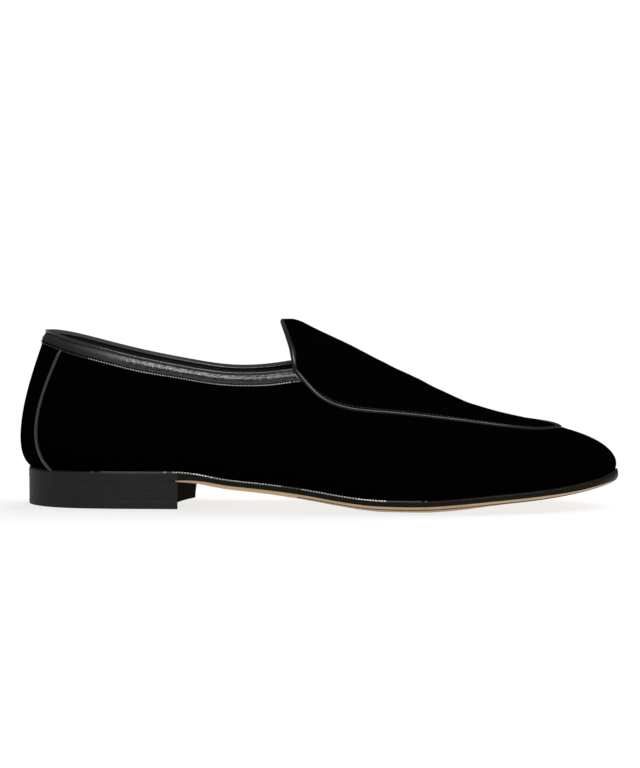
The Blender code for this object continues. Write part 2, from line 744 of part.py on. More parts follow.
def centre_on_origin(parts):
    """Parents the parts to an empty that puts the middle of the shoe's outline over the origin."""
    bpy.context.view_layer.update()
    graph = bpy.context.evaluated_depsgraph_get()
    corners = []
    for part in parts:
        mesh = part.evaluated_get(graph).to_mesh()
        corners += [tuple(vertex.co) for vertex in mesh.vertices]
        part.evaluated_get(graph).to_mesh_clear()
    corners = np.array(corners)
    middle = (corners.min(axis=0) + corners.max(axis=0)) / 2
    holder = bpy.data.objects.new("loafer", None)
    shoe_parts.objects.link(holder)
    holder.location = (-middle[0], -middle[1], 0)
    for part in parts:
        part.parent = holder


for leftover in list(bpy.data.objects):
    bpy.data.objects.remove(leftover)
shoe_parts = bpy.data.collections.new("velvet_slipper_loafer")
bpy.context.scene.collection.children.link(shoe_parts)

velvet = material("velvet", (0.004, 0.004, 0.005), 0.95)
trim_leather = material("trim_leather", (0.022, 0.022, 0.023), 0.42)
sole_leather = material("sole_leather", (0.62, 0.43, 0.27), 0.55)
heel_leather = material("heel_leather", (0.018, 0.018, 0.018), 0.5)
lining_leather = material("lining_leather", (0.02, 0.019, 0.022), 0.6)

centre_on_origin([
    build_outsole(sole_leather),
    build_heel(heel_leather),
    build_upper(velvet),
    build_insole(lining_leather),
    build_binding(trim_leather),
    build_apron_piping(trim_leather),
    build_heel_piping("heel_piping_outer", OUTER, trim_leather),
    build_heel_piping("heel_piping_inner", INNER, trim_leather),
])
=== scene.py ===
# Looks of the velvet slipper loafer, a right shoe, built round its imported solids.
import math

import bpy
import numpy as np
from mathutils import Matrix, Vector


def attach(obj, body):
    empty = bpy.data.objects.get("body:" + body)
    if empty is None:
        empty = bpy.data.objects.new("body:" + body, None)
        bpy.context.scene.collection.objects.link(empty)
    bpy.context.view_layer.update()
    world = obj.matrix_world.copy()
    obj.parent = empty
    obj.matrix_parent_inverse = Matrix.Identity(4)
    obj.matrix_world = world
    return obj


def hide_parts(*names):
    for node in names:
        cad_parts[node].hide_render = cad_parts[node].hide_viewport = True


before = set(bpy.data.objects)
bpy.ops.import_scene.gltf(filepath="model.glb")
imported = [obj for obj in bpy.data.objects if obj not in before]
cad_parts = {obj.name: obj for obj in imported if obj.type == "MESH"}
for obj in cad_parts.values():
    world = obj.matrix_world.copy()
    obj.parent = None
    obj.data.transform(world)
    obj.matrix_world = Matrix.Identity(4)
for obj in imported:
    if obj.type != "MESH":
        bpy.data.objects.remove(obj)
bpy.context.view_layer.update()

# Shoe coordinates: x runs from the back of the sole to the toe, y is minus on the outer side, z is up from
# the floor.
sole_points = np.array([tuple(vertex.co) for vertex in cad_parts["outsole"].data.vertices])
heel_back = sole_points[np.argmin(sole_points[:, 0])]

MM = 0.001
OUTER, INNER = -1, 1
UP = np.array([0.0, 0.0, 1.0])
CURVE_SAMPLES = 600
STEP = 0.004

# Sole. Starts, ends and fades are shares of SOLE_LENGTH.
SOLE_LENGTH, BALL_WIDTH = 294 * MM, 100 * MM
HEEL_HEIGHT, SOLE_THICKNESS, TOE_SPRING = 13.5 * MM, 4.6 * MM, 12.4 * MM
EDGE_RISE, NOSE_RISE, NOSE_START = 1.9 * MM, 1.2 * MM, 0.965
CHAMFER_WIDTH, CHAMFER_START, CHAMFER_FULL, CHAMFER_FADE, CHAMFER_AT_TOE = 2.6 * MM, 0.225, 0.325, 0.88, 0.45

# Heel block
HEEL_LENGTH, HEEL_INSET = 76.5 * MM, 0.3 * MM
BREAST_HOLLOW, BREAST_SLANT, BREAST_FLARE = 5 * MM, 3.9 * MM, 2 * MM

# Upper and piping
BACK_HEIGHT, INSTEP_HEIGHT, WALL = 67.4 * MM, 80.4 * MM, 2.2 * MM
EDGE_MARGIN, GAP = 1.8 * MM, 0.3 * MM
FOOT_AT_JOINT, SPINE_END = 0.47, 0.861
GROOVE_DEPTH, GROOVE_HALF, GROOVE_FADE = 1.3 * MM, 1.7 * MM, 0.16
PIPING_RADIUS, PIPING_ROLL, HEEL_PIPING_RADIUS = 0.9 * MM, 0.22, 0.75 * MM
APRON_SIDE_REACH, APRON_RIDGE_REACH = 0.34, 0.36

# Half the back strip's width, as shares of the way round from the heel's middle to the joint with the tongue.
BACK_STRIP_TOP, BACK_STRIP_FOOT, BACK_STRIP_BOW = 0.155, 0.184, 0.039


def table(names, *rows):
    """Columns of numbers by name."""
    return dict(zip(names.split(), np.array(rows, float).T))


# The sole's outline. along is a share of SOLE_LENGTH, across of BALL_WIDTH, minus on the outer side.
OUTLINE = table(
    "along across",
    (1.000, 0.000), (0.986, -0.128), (0.948, -0.255), (0.885, -0.385), (0.795, -0.495), (0.690, -0.545),
    (0.590, -0.520), (0.480, -0.435), (0.360, -0.355), (0.240, -0.325), (0.125, -0.318), (0.045, -0.247),
    (0.009, -0.130), (-0.0025, 0.000), (0.009, 0.130), (0.045, 0.243), (0.125, 0.308), (0.240, 0.300),
    (0.350, 0.258), (0.450, 0.250), (0.550, 0.320), (0.655, 0.420), (0.755, 0.456), (0.850, 0.410),
    (0.930, 0.288), (0.981, 0.145), (1.000, 0.000),
)

# The sole's underside: heel is a share of HEEL_HEIGHT, spring of TOE_SPRING, and edge of EDGE_RISE, by which
# the sole's edge lies higher than its middle.
SOLE_RISE = table(
    "along heel spring edge",
    (0.000, 1.000, 0.000, 0.00), (0.285, 1.000, 0.000, 0.00), (0.300, 0.905, 0.000, 0.04),
    (0.330, 0.725, 0.000, 0.25), (0.370, 0.620, 0.000, 0.45), (0.410, 0.520, 0.000, 0.65),
    (0.470, 0.345, 0.000, 0.90), (0.530, 0.145, 0.000, 0.93), (0.570, 0.040, 0.000, 0.90),
    (0.605, 0.000, 0.000, 0.85), (0.675, 0.000, 0.000, 0.85), (0.720, 0.000, 0.050, 0.95),
    (0.800, 0.000, 0.245, 0.72), (0.875, 0.000, 0.425, 0.40), (0.950, 0.000, 0.715, 0.12),
    (1.000, 0.000, 1.000, 0.00),
)

# The collar's edge from the heel to the joint with the tongue. up is a share of BACK_HEIGHT above the sole.
COLLAR = table(
    "along across outer_up inner_up",
    (0.029, 0.000, 1.005, 1.005), (0.037, 0.095, 1.012, 1.000), (0.066, 0.180, 0.973, 0.974),
    (0.119, 0.240, 0.912, 0.911), (0.187, 0.265, 0.840, 0.836), (0.265, 0.280, 0.774, 0.768),
    (0.340, 0.290, 0.789, 0.785), (0.404, 0.293, 0.821, 0.827), (0.457, 0.290, 0.877, 0.894),
)

# The apron seam from the joint to its tip. up is a share of INSTEP_HEIGHT above the sole.
SEAM = table(
    "along across outer_up inner_up",
    (0.477, 0.315, 0.663, 0.679), (0.501, 0.345, 0.598, 0.613), (0.541, 0.370, 0.560, 0.575),
    (0.605, 0.355, 0.548, 0.563), (0.680, 0.310, 0.518, 0.533), (0.755, 0.260, 0.461, 0.476),
    (0.826, 0.195, 0.396, 0.418), (0.874, 0.115, 0.363, 0.383), (0.895, 0.050, 0.354, 0.361),
    (0.901, 0.000, 0.350, 0.350),
)

# The instep's ridge from the tongue's peak forwards: across is a share of BALL_WIDTH, up of INSTEP_HEIGHT.
RIDGE = table(
    "along across up",
    (0.434, 0.000, 1.018), (0.449, 0.000, 1.024), (0.476, 0.003, 0.998), (0.544, 0.010, 0.917),
    (0.612, 0.015, 0.806), (0.680, 0.018, 0.685), (0.748, 0.015, 0.549), (0.816, 0.008, 0.434),
    (0.861, 0.003, 0.378), (0.901, 0.000, 0.350),
)

# The wall's rise at stations from the heel (0) past the joint (1) to the toe (2). Leans are degrees outwards
# from upright at the foot and inwards at the shoulder, reaches are shares of the rib's chord.
WALL_RIBS = table(
    "station foot_lean foot_reach top_lean top_reach",
    (0.00, 59, 0.22, 21, 0.39), (0.25, 44, 0.22, 14, 0.38), (0.60, 30, 0.25, 10, 0.36),
    (1.00, 20, 0.28, 16, 0.34), (1.25, 14, 0.32, 28, 0.34), (1.50, 10, 0.34, 44, 0.36),
    (1.75, 13, 0.34, 60, 0.40), (2.00, 25, 0.27, 77, 0.57),
)


def spline(knots, values):
    """A natural cubic spline through the values, as a function of the knots' own parameter."""
    knots, values = np.asarray(knots, float), np.asarray(values, float)
    steps = np.diff(knots)
    system = np.eye(len(knots))
    right = np.zeros(values.shape)
    for i in range(1, len(knots) - 1):
        system[i, i - 1:i + 2] = steps[i - 1], 2 * (steps[i - 1] + steps[i]), steps[i]
        right[i] = 6 * ((values[i + 1] - values[i]) / steps[i] - (values[i] - values[i - 1]) / steps[i - 1])
    bends = np.linalg.solve(system, right)

    def at(where):
        where = np.clip(np.asarray(where, float), knots[0], knots[-1])
        i = np.clip(np.searchsorted(knots, where, side="right") - 1, 0, len(steps) - 1)
        step = steps[i]
        before = (knots[i + 1] - where) / step
        after = 1 - before
        if values.ndim > 1:
            step, before, after = (x[..., None] for x in (step, before, after))
        curve = (before**3 - before) * bends[i] + (after**3 - after) * bends[i + 1]
        return before * values[i] + after * values[i + 1] + curve * step**2 / 6

    return at


def rise(knots, values):
    """A curve through the values that never overshoots, so that level stretches stay level."""
    knots, values = np.asarray(knots, float), np.asarray(values, float)
    steps = np.diff(knots)
    slopes = np.diff(values) / steps
    tangents = np.zeros(len(knots))
    for i in range(1, len(knots) - 1):
        if slopes[i - 1] * slopes[i] > 0:
            tangents[i] = 2 / (1 / slopes[i - 1] + 1 / slopes[i])
    tangents[-1] = slopes[-1]

    def at(where):
        where = np.clip(np.asarray(where, float), knots[0], knots[-1])
        i = np.clip(np.searchsorted(knots, where, side="right") - 1, 0, len(steps) - 1)
        s = (where - knots[i]) / steps[i]
        start = (1 + 2 * s) * (1 - s) ** 2 * values[i] + s * (1 - s) ** 2 * steps[i] * tangents[i]
        end = s**2 * (3 - 2 * s) * values[i + 1] - s**2 * (1 - s) * steps[i] * tangents[i + 1]
        return start + end

    return at


def run_lengths(points):
    """The length of a run of points up to each of them."""
    return np.concatenate([[0], np.cumsum(np.linalg.norm(np.diff(points, axis=0), axis=1))])


def track(points, middle, closed=False):
    """A smooth curve through points, from points[middle] (share 0) to its end on either side (share 1)."""
    points = np.asarray(points, float)
    wrap = 3 if closed else 0
    laid = np.concatenate([points[-1 - wrap:-1], points, points[1:1 + wrap]]) if closed else points
    knots = run_lengths(laid)
    through = spline(knots, laid)
    first, centre, last = knots[wrap], knots[wrap + middle], knots[len(laid) - 1 - wrap]
    halves = {}
    for side, end in ((OUTER, first), (INNER, last)):
        marks = np.linspace(centre, end, CURVE_SAMPLES)
        lengths = np.cumsum(np.linalg.norm(np.diff(through(marks), axis=0), axis=1))
        halves[side] = (np.concatenate([[0], lengths / lengths[-1]]), marks)

    def at(side, share):
        shares, marks = halves[side]
        return through(np.interp(share, shares, marks))

    return at


def bezier(start, start_handle, end_handle, end, share):
    s = np.asarray(share, float)[..., None]
    return ((1 - s) ** 3 * start + 3 * s * (1 - s) ** 2 * start_handle
            + 3 * s**2 * (1 - s) * end_handle + s**3 * end)


def unit(vectors):
    return vectors / np.linalg.norm(vectors, axis=-1, keepdims=True)


outline = track(
    np.column_stack([OUTLINE["along"] * SOLE_LENGTH, OUTLINE["across"] * BALL_WIDTH]),
    int(np.argmin(OUTLINE["along"])),
    closed=True,
)
heel_rise, spring_rise, edge_rise = (
    rise(SOLE_RISE["along"], SOLE_RISE[name]) for name in ("heel", "spring", "edge"))


def sole_bottom(x):
    along = np.asarray(x) / SOLE_LENGTH
    return heel_rise(along) * HEEL_HEIGHT + spring_rise(along) * TOE_SPRING


def sole_top(x):
    return sole_bottom(x) + SOLE_THICKNESS


def edge_bottom(x):
    """The sole's edge from below, eased over a few millimetres where it leaves the heel."""
    x = np.asarray(x, float)
    reach = np.clip((SOLE_LENGTH - x) / (11 * MM), 0, 1) * 11 * MM
    total = 0
    for weight, shift in zip(np.array([1, 2, 3, 4, 3, 2, 1]) / 16, np.linspace(-1, 1, 7)):
        near = x + shift * reach
        total = total + weight * (sole_bottom(near) + edge_rise(near / SOLE_LENGTH) * EDGE_RISE)
    return total


def edge_top(x):
    """The edge's upper side, which curls up a little at the toe's tip."""
    nose = np.clip((np.asarray(x) / SOLE_LENGTH - NOSE_START) / (1 - NOSE_START), 0, 1)
    return edge_bottom(x) + SOLE_THICKNESS + nose**2 * NOSE_RISE


def outline_normal(side, share):
    """The level direction that points out of the sole at this share of its edge."""
    share = np.asarray(share, float)
    ahead = outline(side, np.minimum(share + STEP / 2, 1))
    behind = outline(side, np.maximum(share - STEP / 2, 0))
    tangent = unit(ahead - behind)
    normal = side * np.stack([-tangent[..., 1], tangent[..., 0]], axis=-1)
    # The curve crosses its own middle line squarely at the heel's back and at the toe's tip.
    normal = np.where((share <= 0)[..., None], (-1.0, 0.0), normal)
    return np.where((share >= 1)[..., None], (1.0, 0.0), normal)


def edge_point(side, share, inset):
    """The point at this share of the sole's edge, moved inwards, in plan."""
    return outline(side, share) - inset * outline_normal(side, share)


def smooth(share):
    share = np.clip(share, 0, 1)
    return share * share * (3 - 2 * share)


def chamfer(x):
    """How much of the chamfer under the edge there is: none over the heel, and less again towards the toe."""
    along = np.asarray(x) / SOLE_LENGTH
    faded = np.clip((along - CHAMFER_FADE) / (1 - CHAMFER_FADE), 0, 1)
    grown = smooth((along - CHAMFER_START) / (CHAMFER_FULL - CHAMFER_START))
    return grown * (1 - (1 - CHAMFER_AT_TOE) * faded)


def heights(rows, scale):
    """Points of a two-sided table on each side."""
    x = rows["along"] * SOLE_LENGTH
    return {side: np.column_stack([x, side * rows["across"] * BALL_WIDTH, rows[up] * scale + sole_top(x)])
            for side, up in ((OUTER, "outer_up"), (INNER, "inner_up"))}


collar_points, seam_points = heights(COLLAR, BACK_HEIGHT), heights(SEAM, INSTEP_HEIGHT)
collar = track([*collar_points[OUTER][::-1], *collar_points[INNER][1:]], len(COLLAR["along"]) - 1)
seam = track(
    [collar_points[OUTER][-1], *seam_points[OUTER], *seam_points[INNER][-2::-1], collar_points[INNER][-1]],
    len(SEAM["along"]),
)
ridge_along = spline(RIDGE["along"], RIDGE["across"] * BALL_WIDTH)
ridge_up = spline(RIDGE["along"], RIDGE["up"] * INSTEP_HEIGHT)


def ridge(along):
    x = np.asarray(along) * SOLE_LENGTH
    return np.stack([x, ridge_along(along), ridge_up(along) + sole_top(x)], axis=-1)


def foot_share(station):
    """Where a rib stands on the sole's edge. Stations: 0 heel, 1 joint, 2 toe."""
    station = np.asarray(station, float)
    rear = station * FOOT_AT_JOINT
    front = FOOT_AT_JOINT + (station - 1) * (1 - FOOT_AT_JOINT)
    return np.where(station <= 1, rear, front)


def shoulder(side, station):
    """The top of a wall rib, on the collar behind the joint and on the apron seam in front of it."""
    station = np.asarray(station, float)
    forward = np.clip(station - 1, 0, 1)
    along_seam = forward * (1.25 - 0.25 * forward**3)
    on_collar = collar(side, np.clip(station, 0, 1))
    on_seam = seam(side, 1 - along_seam)
    return np.where((station <= 1)[..., None], on_collar, on_seam)


foot_lean, foot_reach, top_lean, top_reach = (
    spline(WALL_RIBS["station"], WALL_RIBS[name])
    for name in ("foot_lean", "foot_reach", "top_lean", "top_reach"))


def outwards(side, station):
    plan = outline_normal(side, foot_share(station))
    return np.concatenate([plan, np.zeros(plan.shape[:-1] + (1,))], axis=-1)


def wall(side, station, share):
    """The upper's outer face between the sole (share 0) and the collar or apron seam (share 1)."""
    station = np.asarray(station, float)
    foot_plan = edge_point(side, foot_share(station), EDGE_MARGIN)
    foot = np.concatenate([foot_plan, (edge_top(foot_plan[..., 0]) + GAP)[..., None]], axis=-1)
    top = shoulder(side, station)
    out = outwards(side, station)
    chord = np.linalg.norm(top - foot, axis=-1)[..., None]
    low = np.radians(foot_lean(station))[..., None]
    high = np.radians(top_lean(station))[..., None]
    foot_handle = foot + foot_reach(station)[..., None] * chord * (np.sin(low) * out + np.cos(low) * UP)
    top_handle = top + top_reach(station)[..., None] * chord * (np.sin(high) * out - np.cos(high) * UP)
    return bezier(foot, foot_handle, top_handle, top, share)


def apron(side, forward, share):
    """The apron and tongue from the seam (share 0) to the ridge (share 1). forward is 0 at the joint."""
    forward = np.asarray(forward, float)
    start = shoulder(side, 1 + forward)
    peak = RIDGE["along"][0]
    along = peak + (SPINE_END - peak) * forward * (1.5 - 0.5 * forward**2)
    end = ridge(along)
    behind = np.maximum(along - STEP, peak)
    ahead = along + STEP
    slope = (ridge(ahead) - ridge(behind))[..., 2] / ((ahead - behind) * SOLE_LENGTH)
    out = outwards(side, 1 + forward)
    chord = np.linalg.norm(end - start, axis=-1)[..., None]
    high = np.radians(top_lean(1 + forward))[..., None]
    start_handle = start + APRON_SIDE_REACH * chord * (np.cos(high) * UP - np.sin(high) * out)
    level = unit((start - end)[..., :2] * np.stack([forward, np.ones(forward.shape)], axis=-1))
    across = np.concatenate([level, (level[..., 0] * slope)[..., None]], axis=-1)
    end_handle = end + APRON_RIDGE_REACH * chord * across
    return bezier(start, start_handle, end_handle, end, share)


def normal_of(surface, side, station, share):
    """The outward unit normal of a surface function."""
    station = np.asarray(station, float)
    share = np.asarray(share, float)
    along = surface(side, station + STEP, share) - surface(side, station - STEP, share)
    above, below = np.minimum(share + STEP, 1), np.maximum(share - STEP, 0)
    up = surface(side, station, above) - surface(side, station, below)
    return unit(side * np.cross(up, along))


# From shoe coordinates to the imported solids' own: the outsole's rearmost point is in both.
SHIFT = np.array([heel_back[0] - outline(OUTER, 0.0)[0], heel_back[1], 0.0])


# Meshes

def grid_faces(index, closed_rows=False, closed_columns=False):
    """Quads of a grid of vertex numbers."""
    if closed_rows:
        index = np.concatenate([index, index[:1]])
    if closed_columns:
        index = np.concatenate([index, index[:, :1]], axis=1)
    return np.stack([index[:-1, :-1], index[:-1, 1:], index[1:, 1:], index[1:, :-1]], axis=-1).reshape(-1, 4)


def as_triangles(faces):
    return faces if faces.shape[1] == 3 else np.concatenate([faces[:, [0, 1, 2]], faces[:, [0, 2, 3]]])


def loft(rows):
    """The points of a grid in one list, and their numbers in the grid."""
    rows = np.asarray(rows)
    return rows.reshape(-1, 3), np.arange(rows.shape[0] * rows.shape[1]).reshape(rows.shape[:2])


def ring_cap(ring, middle):
    """Triangles from a ring of vertex numbers to the vertex in its middle."""
    return np.stack([ring, np.roll(ring, -1), np.full(len(ring), middle)], axis=1)


def capped(rows):
    """A grid of points as a tube with a fan over each end."""
    points, index = loft(rows)
    count = len(points)
    points = np.concatenate([points, [rows[0].mean(axis=0), rows[-1].mean(axis=0)]])
    return points, [grid_faces(index, closed_columns=True), ring_cap(index[0][::-1], count),
                    ring_cap(index[-1], count + 1)]


def compact(points, groups):
    """The points that the faces use, with the faces renumbered."""
    used = np.unique(np.concatenate([g.ravel() for g in groups]))
    fresh = np.full(len(points), -1)
    fresh[used] = np.arange(len(used))
    return points[used], [fresh[g] for g in groups]


def point_normals(points, groups):
    normals = np.zeros(points.shape)
    for faces in groups:
        corners = as_triangles(faces)
        a, b, c = (points[corners[:, i]] for i in range(3))
        face_normal = np.cross(b - a, c - a)
        for i in range(3):
            np.add.at(normals, corners[:, i], face_normal)
    return normals / np.maximum(np.linalg.norm(normals, axis=1, keepdims=True), 1e-12)


def add_piece(name, points, groups, finishes, slot, replaced=(), finish_rows=None, sharp=40):
    """A closed mesh that rides on the shoe. groups are arrays of faces, finish_rows the finish of each group.

    Edges sharper than this many degrees stay crisp.
    """
    points = np.asarray(points, float) + SHIFT
    corners = np.concatenate([as_triangles(g) for g in groups])
    a, b, c = (points[corners[:, i]] for i in range(3))
    if np.einsum("ij,ij->i", a, np.cross(b, c)).sum() < 0:
        groups = [g[:, ::-1] for g in groups]
    mesh = bpy.data.meshes.new(name)
    mesh.from_pydata(points.tolist(), [], [tuple(face) for g in groups for face in g.tolist()])
    mesh.validate()
    for finish in finishes if isinstance(finishes, list) else [finishes]:
        mesh.materials.append(finish)
    if finish_rows is not None:
        marks = np.concatenate([np.full(len(g), row) if np.isscalar(row) else row
                                for g, row in zip(groups, finish_rows)])
        mesh.polygons.foreach_set("material_index", marks.astype(np.int32))
    mesh.shade_smooth()
    mesh.set_sharp_from_angle(angle=math.radians(sharp))
    piece = bpy.data.objects.new(name, mesh)
    bpy.context.scene.collection.objects.link(piece)
    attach(piece, "root")
    if replaced:
        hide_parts(*replaced)


def shell(points, groups, outside, inside):
    """A closed skin between two depths under a sheet whose faces look outwards."""
    normals = point_normals(points, groups)
    count = len(points)
    laid = np.concatenate([points - normals * outside, points - normals * inside])
    edges = np.concatenate([np.stack([g[:, i], g[:, (i + 1) % g.shape[1]]], axis=1)
                            for g in groups for i in range(g.shape[1])])
    keys = set(map(tuple, edges.tolist()))
    rim = np.array([e for e in keys if (e[1], e[0]) not in keys])
    walls = np.stack([rim[:, 1], rim[:, 0], rim[:, 0] + count, rim[:, 1] + count], axis=1)
    return laid, [*groups, *[g[:, ::-1] + count for g in groups], walls]


def length_shares(surface, side, stations, distances):
    """Shares of each rib at distances from its start, or from its top where they are negative."""
    samples = np.linspace(0, 1, 160)
    ribs = surface(side, stations[:, None], samples[None, :])
    steps = np.linalg.norm(np.diff(ribs, axis=1), axis=2)
    lengths = np.concatenate([np.zeros((len(stations), 1)), np.cumsum(steps, axis=1)], axis=1)
    wanted = np.where(distances < 0, lengths[:, -1:] + distances, distances)
    return np.array([np.interp(w, row, samples) for w, row in zip(wanted, lengths)])


def sweep(middles, ups, section, closed, scale):
    """A tube whose section, in metres across and up, follows the middles."""
    if closed:
        tangents = unit(np.roll(middles, -1, axis=0) - np.roll(middles, 1, axis=0))
    else:
        tangents = unit(np.gradient(middles, axis=0))
    across = unit(np.cross(tangents, ups))
    up = np.cross(across, tangents)
    ring = section[:, :1] * across[:, None] + section[:, 1:] * up[:, None]
    laid = middles[:, None] + scale[:, None, None] * ring
    if not closed:
        return capped(laid)
    points, index = loft(laid)
    return points, [grid_faces(index, closed_rows=True, closed_columns=True)]


def stitches(places, directions, ups, length, width, height):
    """Small rounded threads, one at each place, joined into one mesh."""
    turns = np.linspace(0, 2 * math.pi, 8, endpoint=False)
    marks = np.linspace(0, math.pi, 7)[1:-1]
    form = [(-0.5, 0.0, 0.0)]
    for mark in marks:
        reach = np.sin(mark) ** 0.6
        form += [(-0.5 * np.cos(mark), 0.5 * reach * np.cos(t), 0.5 * reach * np.sin(t)) for t in turns]
    form = np.array([*form, (0.5, 0.0, 0.0)])
    index = 1 + np.arange(len(marks) * len(turns)).reshape(len(marks), len(turns))
    ends = np.concatenate([ring_cap(index[0][::-1], 0), ring_cap(index[-1], len(form) - 1)])
    directions = unit(directions)
    across = unit(np.cross(ups, directions))
    up = np.cross(directions, across)
    laid = (places[:, None] + form[None, :, 0:1] * length * directions[:, None]
            + form[None, :, 1:2] * width * across[:, None] + form[None, :, 2:3] * height * up[:, None])
    offsets = np.arange(len(laid))[:, None, None] * len(form)
    return laid.reshape(-1, 3), [(faces[None] + offsets).reshape(-1, faces.shape[1])
                                 for faces in (grid_faces(index, closed_columns=True), ends)]


# Materials

def socket(sockets, key):
    """A socket by its number, or by its name among those in use."""
    return sockets[key] if isinstance(key, int) else [s for s in sockets if s.name == key and s.enabled][0]


def lay(tree, kind, output, inputs, **traits):
    """A new node whose inputs are values or what is linked to them. Gives one of its outputs."""
    node = tree.nodes.new("ShaderNode" + kind)
    for trait, value in traits.items():
        setattr(node, trait, value)
    for key, value in inputs.items():
        if isinstance(value, bpy.types.NodeSocket):
            tree.links.new(value, socket(node.inputs, key))
        else:
            socket(node.inputs, key).default_value = value
    return socket(node.outputs, output)


class Nodes:
    """Short ways to lay a material's nodes. Traits are values of the shader's own sockets."""

    def __init__(self, name, **traits):
        self.material = bpy.data.materials.new(name)
        self.material.use_nodes = True
        self.tree = self.material.node_tree
        self.shader = self.tree.nodes["Principled BSDF"]
        for trait, value in {"Metallic": 0, **traits}.items():
            self.shader.inputs[trait.replace("_", " ")].default_value = value
        self.place = lay(self.tree, "TexCoord", "Object", {})

    def stretch(self, *scale):
        return lay(self.tree, "Mapping", "Vector", {"Scale": scale, "Vector": self.place})

    def along(self, start, end):
        """0 to 1 between two distances from the shoe's back, in millimetres."""
        x = lay(self.tree, "SeparateXYZ", "X", {"Vector": self.place})
        limits = {"From Min": SHIFT[0] + start * MM, "From Max": SHIFT[0] + end * MM}
        return lay(self.tree, "MapRange", "Result", {**limits, "Value": x})

    def noise(self, scale, detail, roughness=0.55, distortion=0.0, vector=None):
        inputs = {"Scale": scale, "Detail": detail, "Roughness": roughness, "Distortion": distortion}
        return lay(self.tree, "TexNoise", "Fac", {**inputs, "Vector": vector or self.place})

    def ramp(self, source, *stops):
        """A grey between two stops of the source, each a place and a value."""
        color = lay(self.tree, "ValToRGB", "Color", {"Fac": source})
        for element, (place, value) in zip(color.node.color_ramp.elements, stops):
            element.position = place
            element.color = (value, value, value, 1)
        return color

    def blend(self, share, *colors):
        first, second = (c if isinstance(c, bpy.types.NodeSocket) else (*c, 1) for c in colors)
        return lay(self.tree, "Mix", "Result", {"Factor": share, "A": first, "B": second}, data_type="RGBA")

    def bump(self, height, distance, strength, under=None):
        inputs = {"Strength": strength, "Distance": distance, "Height": height}
        return lay(self.tree, "Bump", "Normal", {**inputs, "Normal": under} if under else inputs)

    def finish(self, color, roughness, normal):
        for name, source in (("Base Color", color), ("Roughness", roughness), ("Normal", normal)):
            self.tree.links.new(source, self.shader.inputs[name])
        return self.material


def velvet_finish():
    """Short black pile: tufts of a third of a millimetre, brushed patches and a faint nap."""
    n = Nodes("velvet_pile", Specular_IOR_Level=0.0, Sheen_Weight=0.0006, Sheen_Roughness=0.45,
              Sheen_Tint=(0.8, 0.85, 1, 1))
    brushed = n.noise(55, 4, 0.6, 0.4)
    tufts = n.noise(2600, 2, 0.6, vector=n.stretch(1.0, 1.0, 0.45))
    color = n.blend(brushed, (0.00015, 0.00015, 0.0002), (0.0004, 0.0004, 0.00045))
    color = n.blend(n.ramp(tufts, (0.35, 0.0), (0.7, 1.0)), color, (0.0007, 0.0007, 0.0008))
    rough = n.ramp(brushed, (0.2, 0.86), (0.8, 1.0))
    return n.finish(color, rough, n.bump(tufts, 0.00025, 0.8, n.bump(brushed, 0.0005, 0.35)))


def leather_finish(name, dark, light, rough_low, rough_high, grain=1300, depth=0.00010, wrinkles=0.3,
                   gloss=0.35, crackle=0.0, dull_behind=None):
    """Black calf: a fine pebbled grain with pores, and soft wrinkles. It can be duller round the heel."""
    n = Nodes(name, Specular_IOR_Level=gloss)
    cells = {"Scale": grain, "Vector": n.place}
    pebbles = lay(n.tree, "TexVoronoi", "Distance", cells, feature="DISTANCE_TO_EDGE")
    rough = n.ramp(n.noise(420, 4, 0.7), (0.3, rough_low), (0.72, rough_high))
    if dull_behind:
        rough = n.blend(n.along(*dull_behind), (0.85, 0.85, 0.85), rough)
    folds = n.bump(n.noise(260, 3, 0.6, 1.2), 0.0004, wrinkles)
    if crackle:
        folds = n.bump(n.noise(950, 3, 0.6, 0.4, n.stretch(1.0, 1.0, 0.9)), crackle, 1.0, folds)
    grained = n.bump(pebbles, depth, 0.6, folds)
    pores = n.noise(grain * 1.9, 3, 0.7)
    color = n.blend(n.noise(120, 4, 0.6), dark, light)
    return n.finish(color, rough, n.bump(pores, depth * 0.7, 0.5, grained))


def edge_finish():
    """Inked and burnished sole edge: fine strokes run along it."""
    n = Nodes("sole_edge_ink", Specular_IOR_Level=0.09)
    strokes = n.noise(1500, 4, 0.7, vector=n.stretch(0.16, 0.16, 1.5))
    color = n.blend(n.noise(90, 4, 0.6), (0.0034, 0.0027, 0.0014), (0.0068, 0.0054, 0.0028))
    color = n.blend(n.ramp(strokes, (0.62, 0.0), (0.8, 1.0)), color, (0.022, 0.018, 0.012))
    return n.finish(color, n.ramp(strokes, (0.3, 0.34), (0.75, 0.6)), n.bump(strokes, 0.00012, 0.7))


def level_fibres(n):
    return n.noise(1300, 5, 0.72, vector=n.stretch(0.18, 0.18, 1.6))


def heel_finish():
    """Stacked leather under black ink: level fibres and a few paler scuffs."""
    n = Nodes("heel_ink", Specular_IOR_Level=0.2)
    fibres, grain = level_fibres(n), n.noise(1800, 3, 0.7)
    color = n.blend(n.noise(70, 4, 0.6), (0.0045, 0.0044, 0.004), (0.011, 0.0105, 0.0095))
    color = n.blend(n.ramp(fibres, (0.6, 0.0), (0.78, 1.0)), color, (0.034, 0.032, 0.028))
    rough = n.ramp(grain, (0.3, 0.46), (0.75, 0.7))
    return n.finish(color, rough, n.bump(grain, 0.0001, 0.5, n.bump(fibres, 0.00022, 0.75)))


def dull_finish(name, dark, light):
    """Dull, nearly black leather with level fibres."""
    n = Nodes(name, Specular_IOR_Level=0.0)
    fibres = level_fibres(n)
    rough = n.ramp(fibres, (0.3, 0.8), (0.7, 1.0))
    return n.finish(n.blend(fibres, dark, light), rough, n.bump(fibres, 0.0002, 0.8))


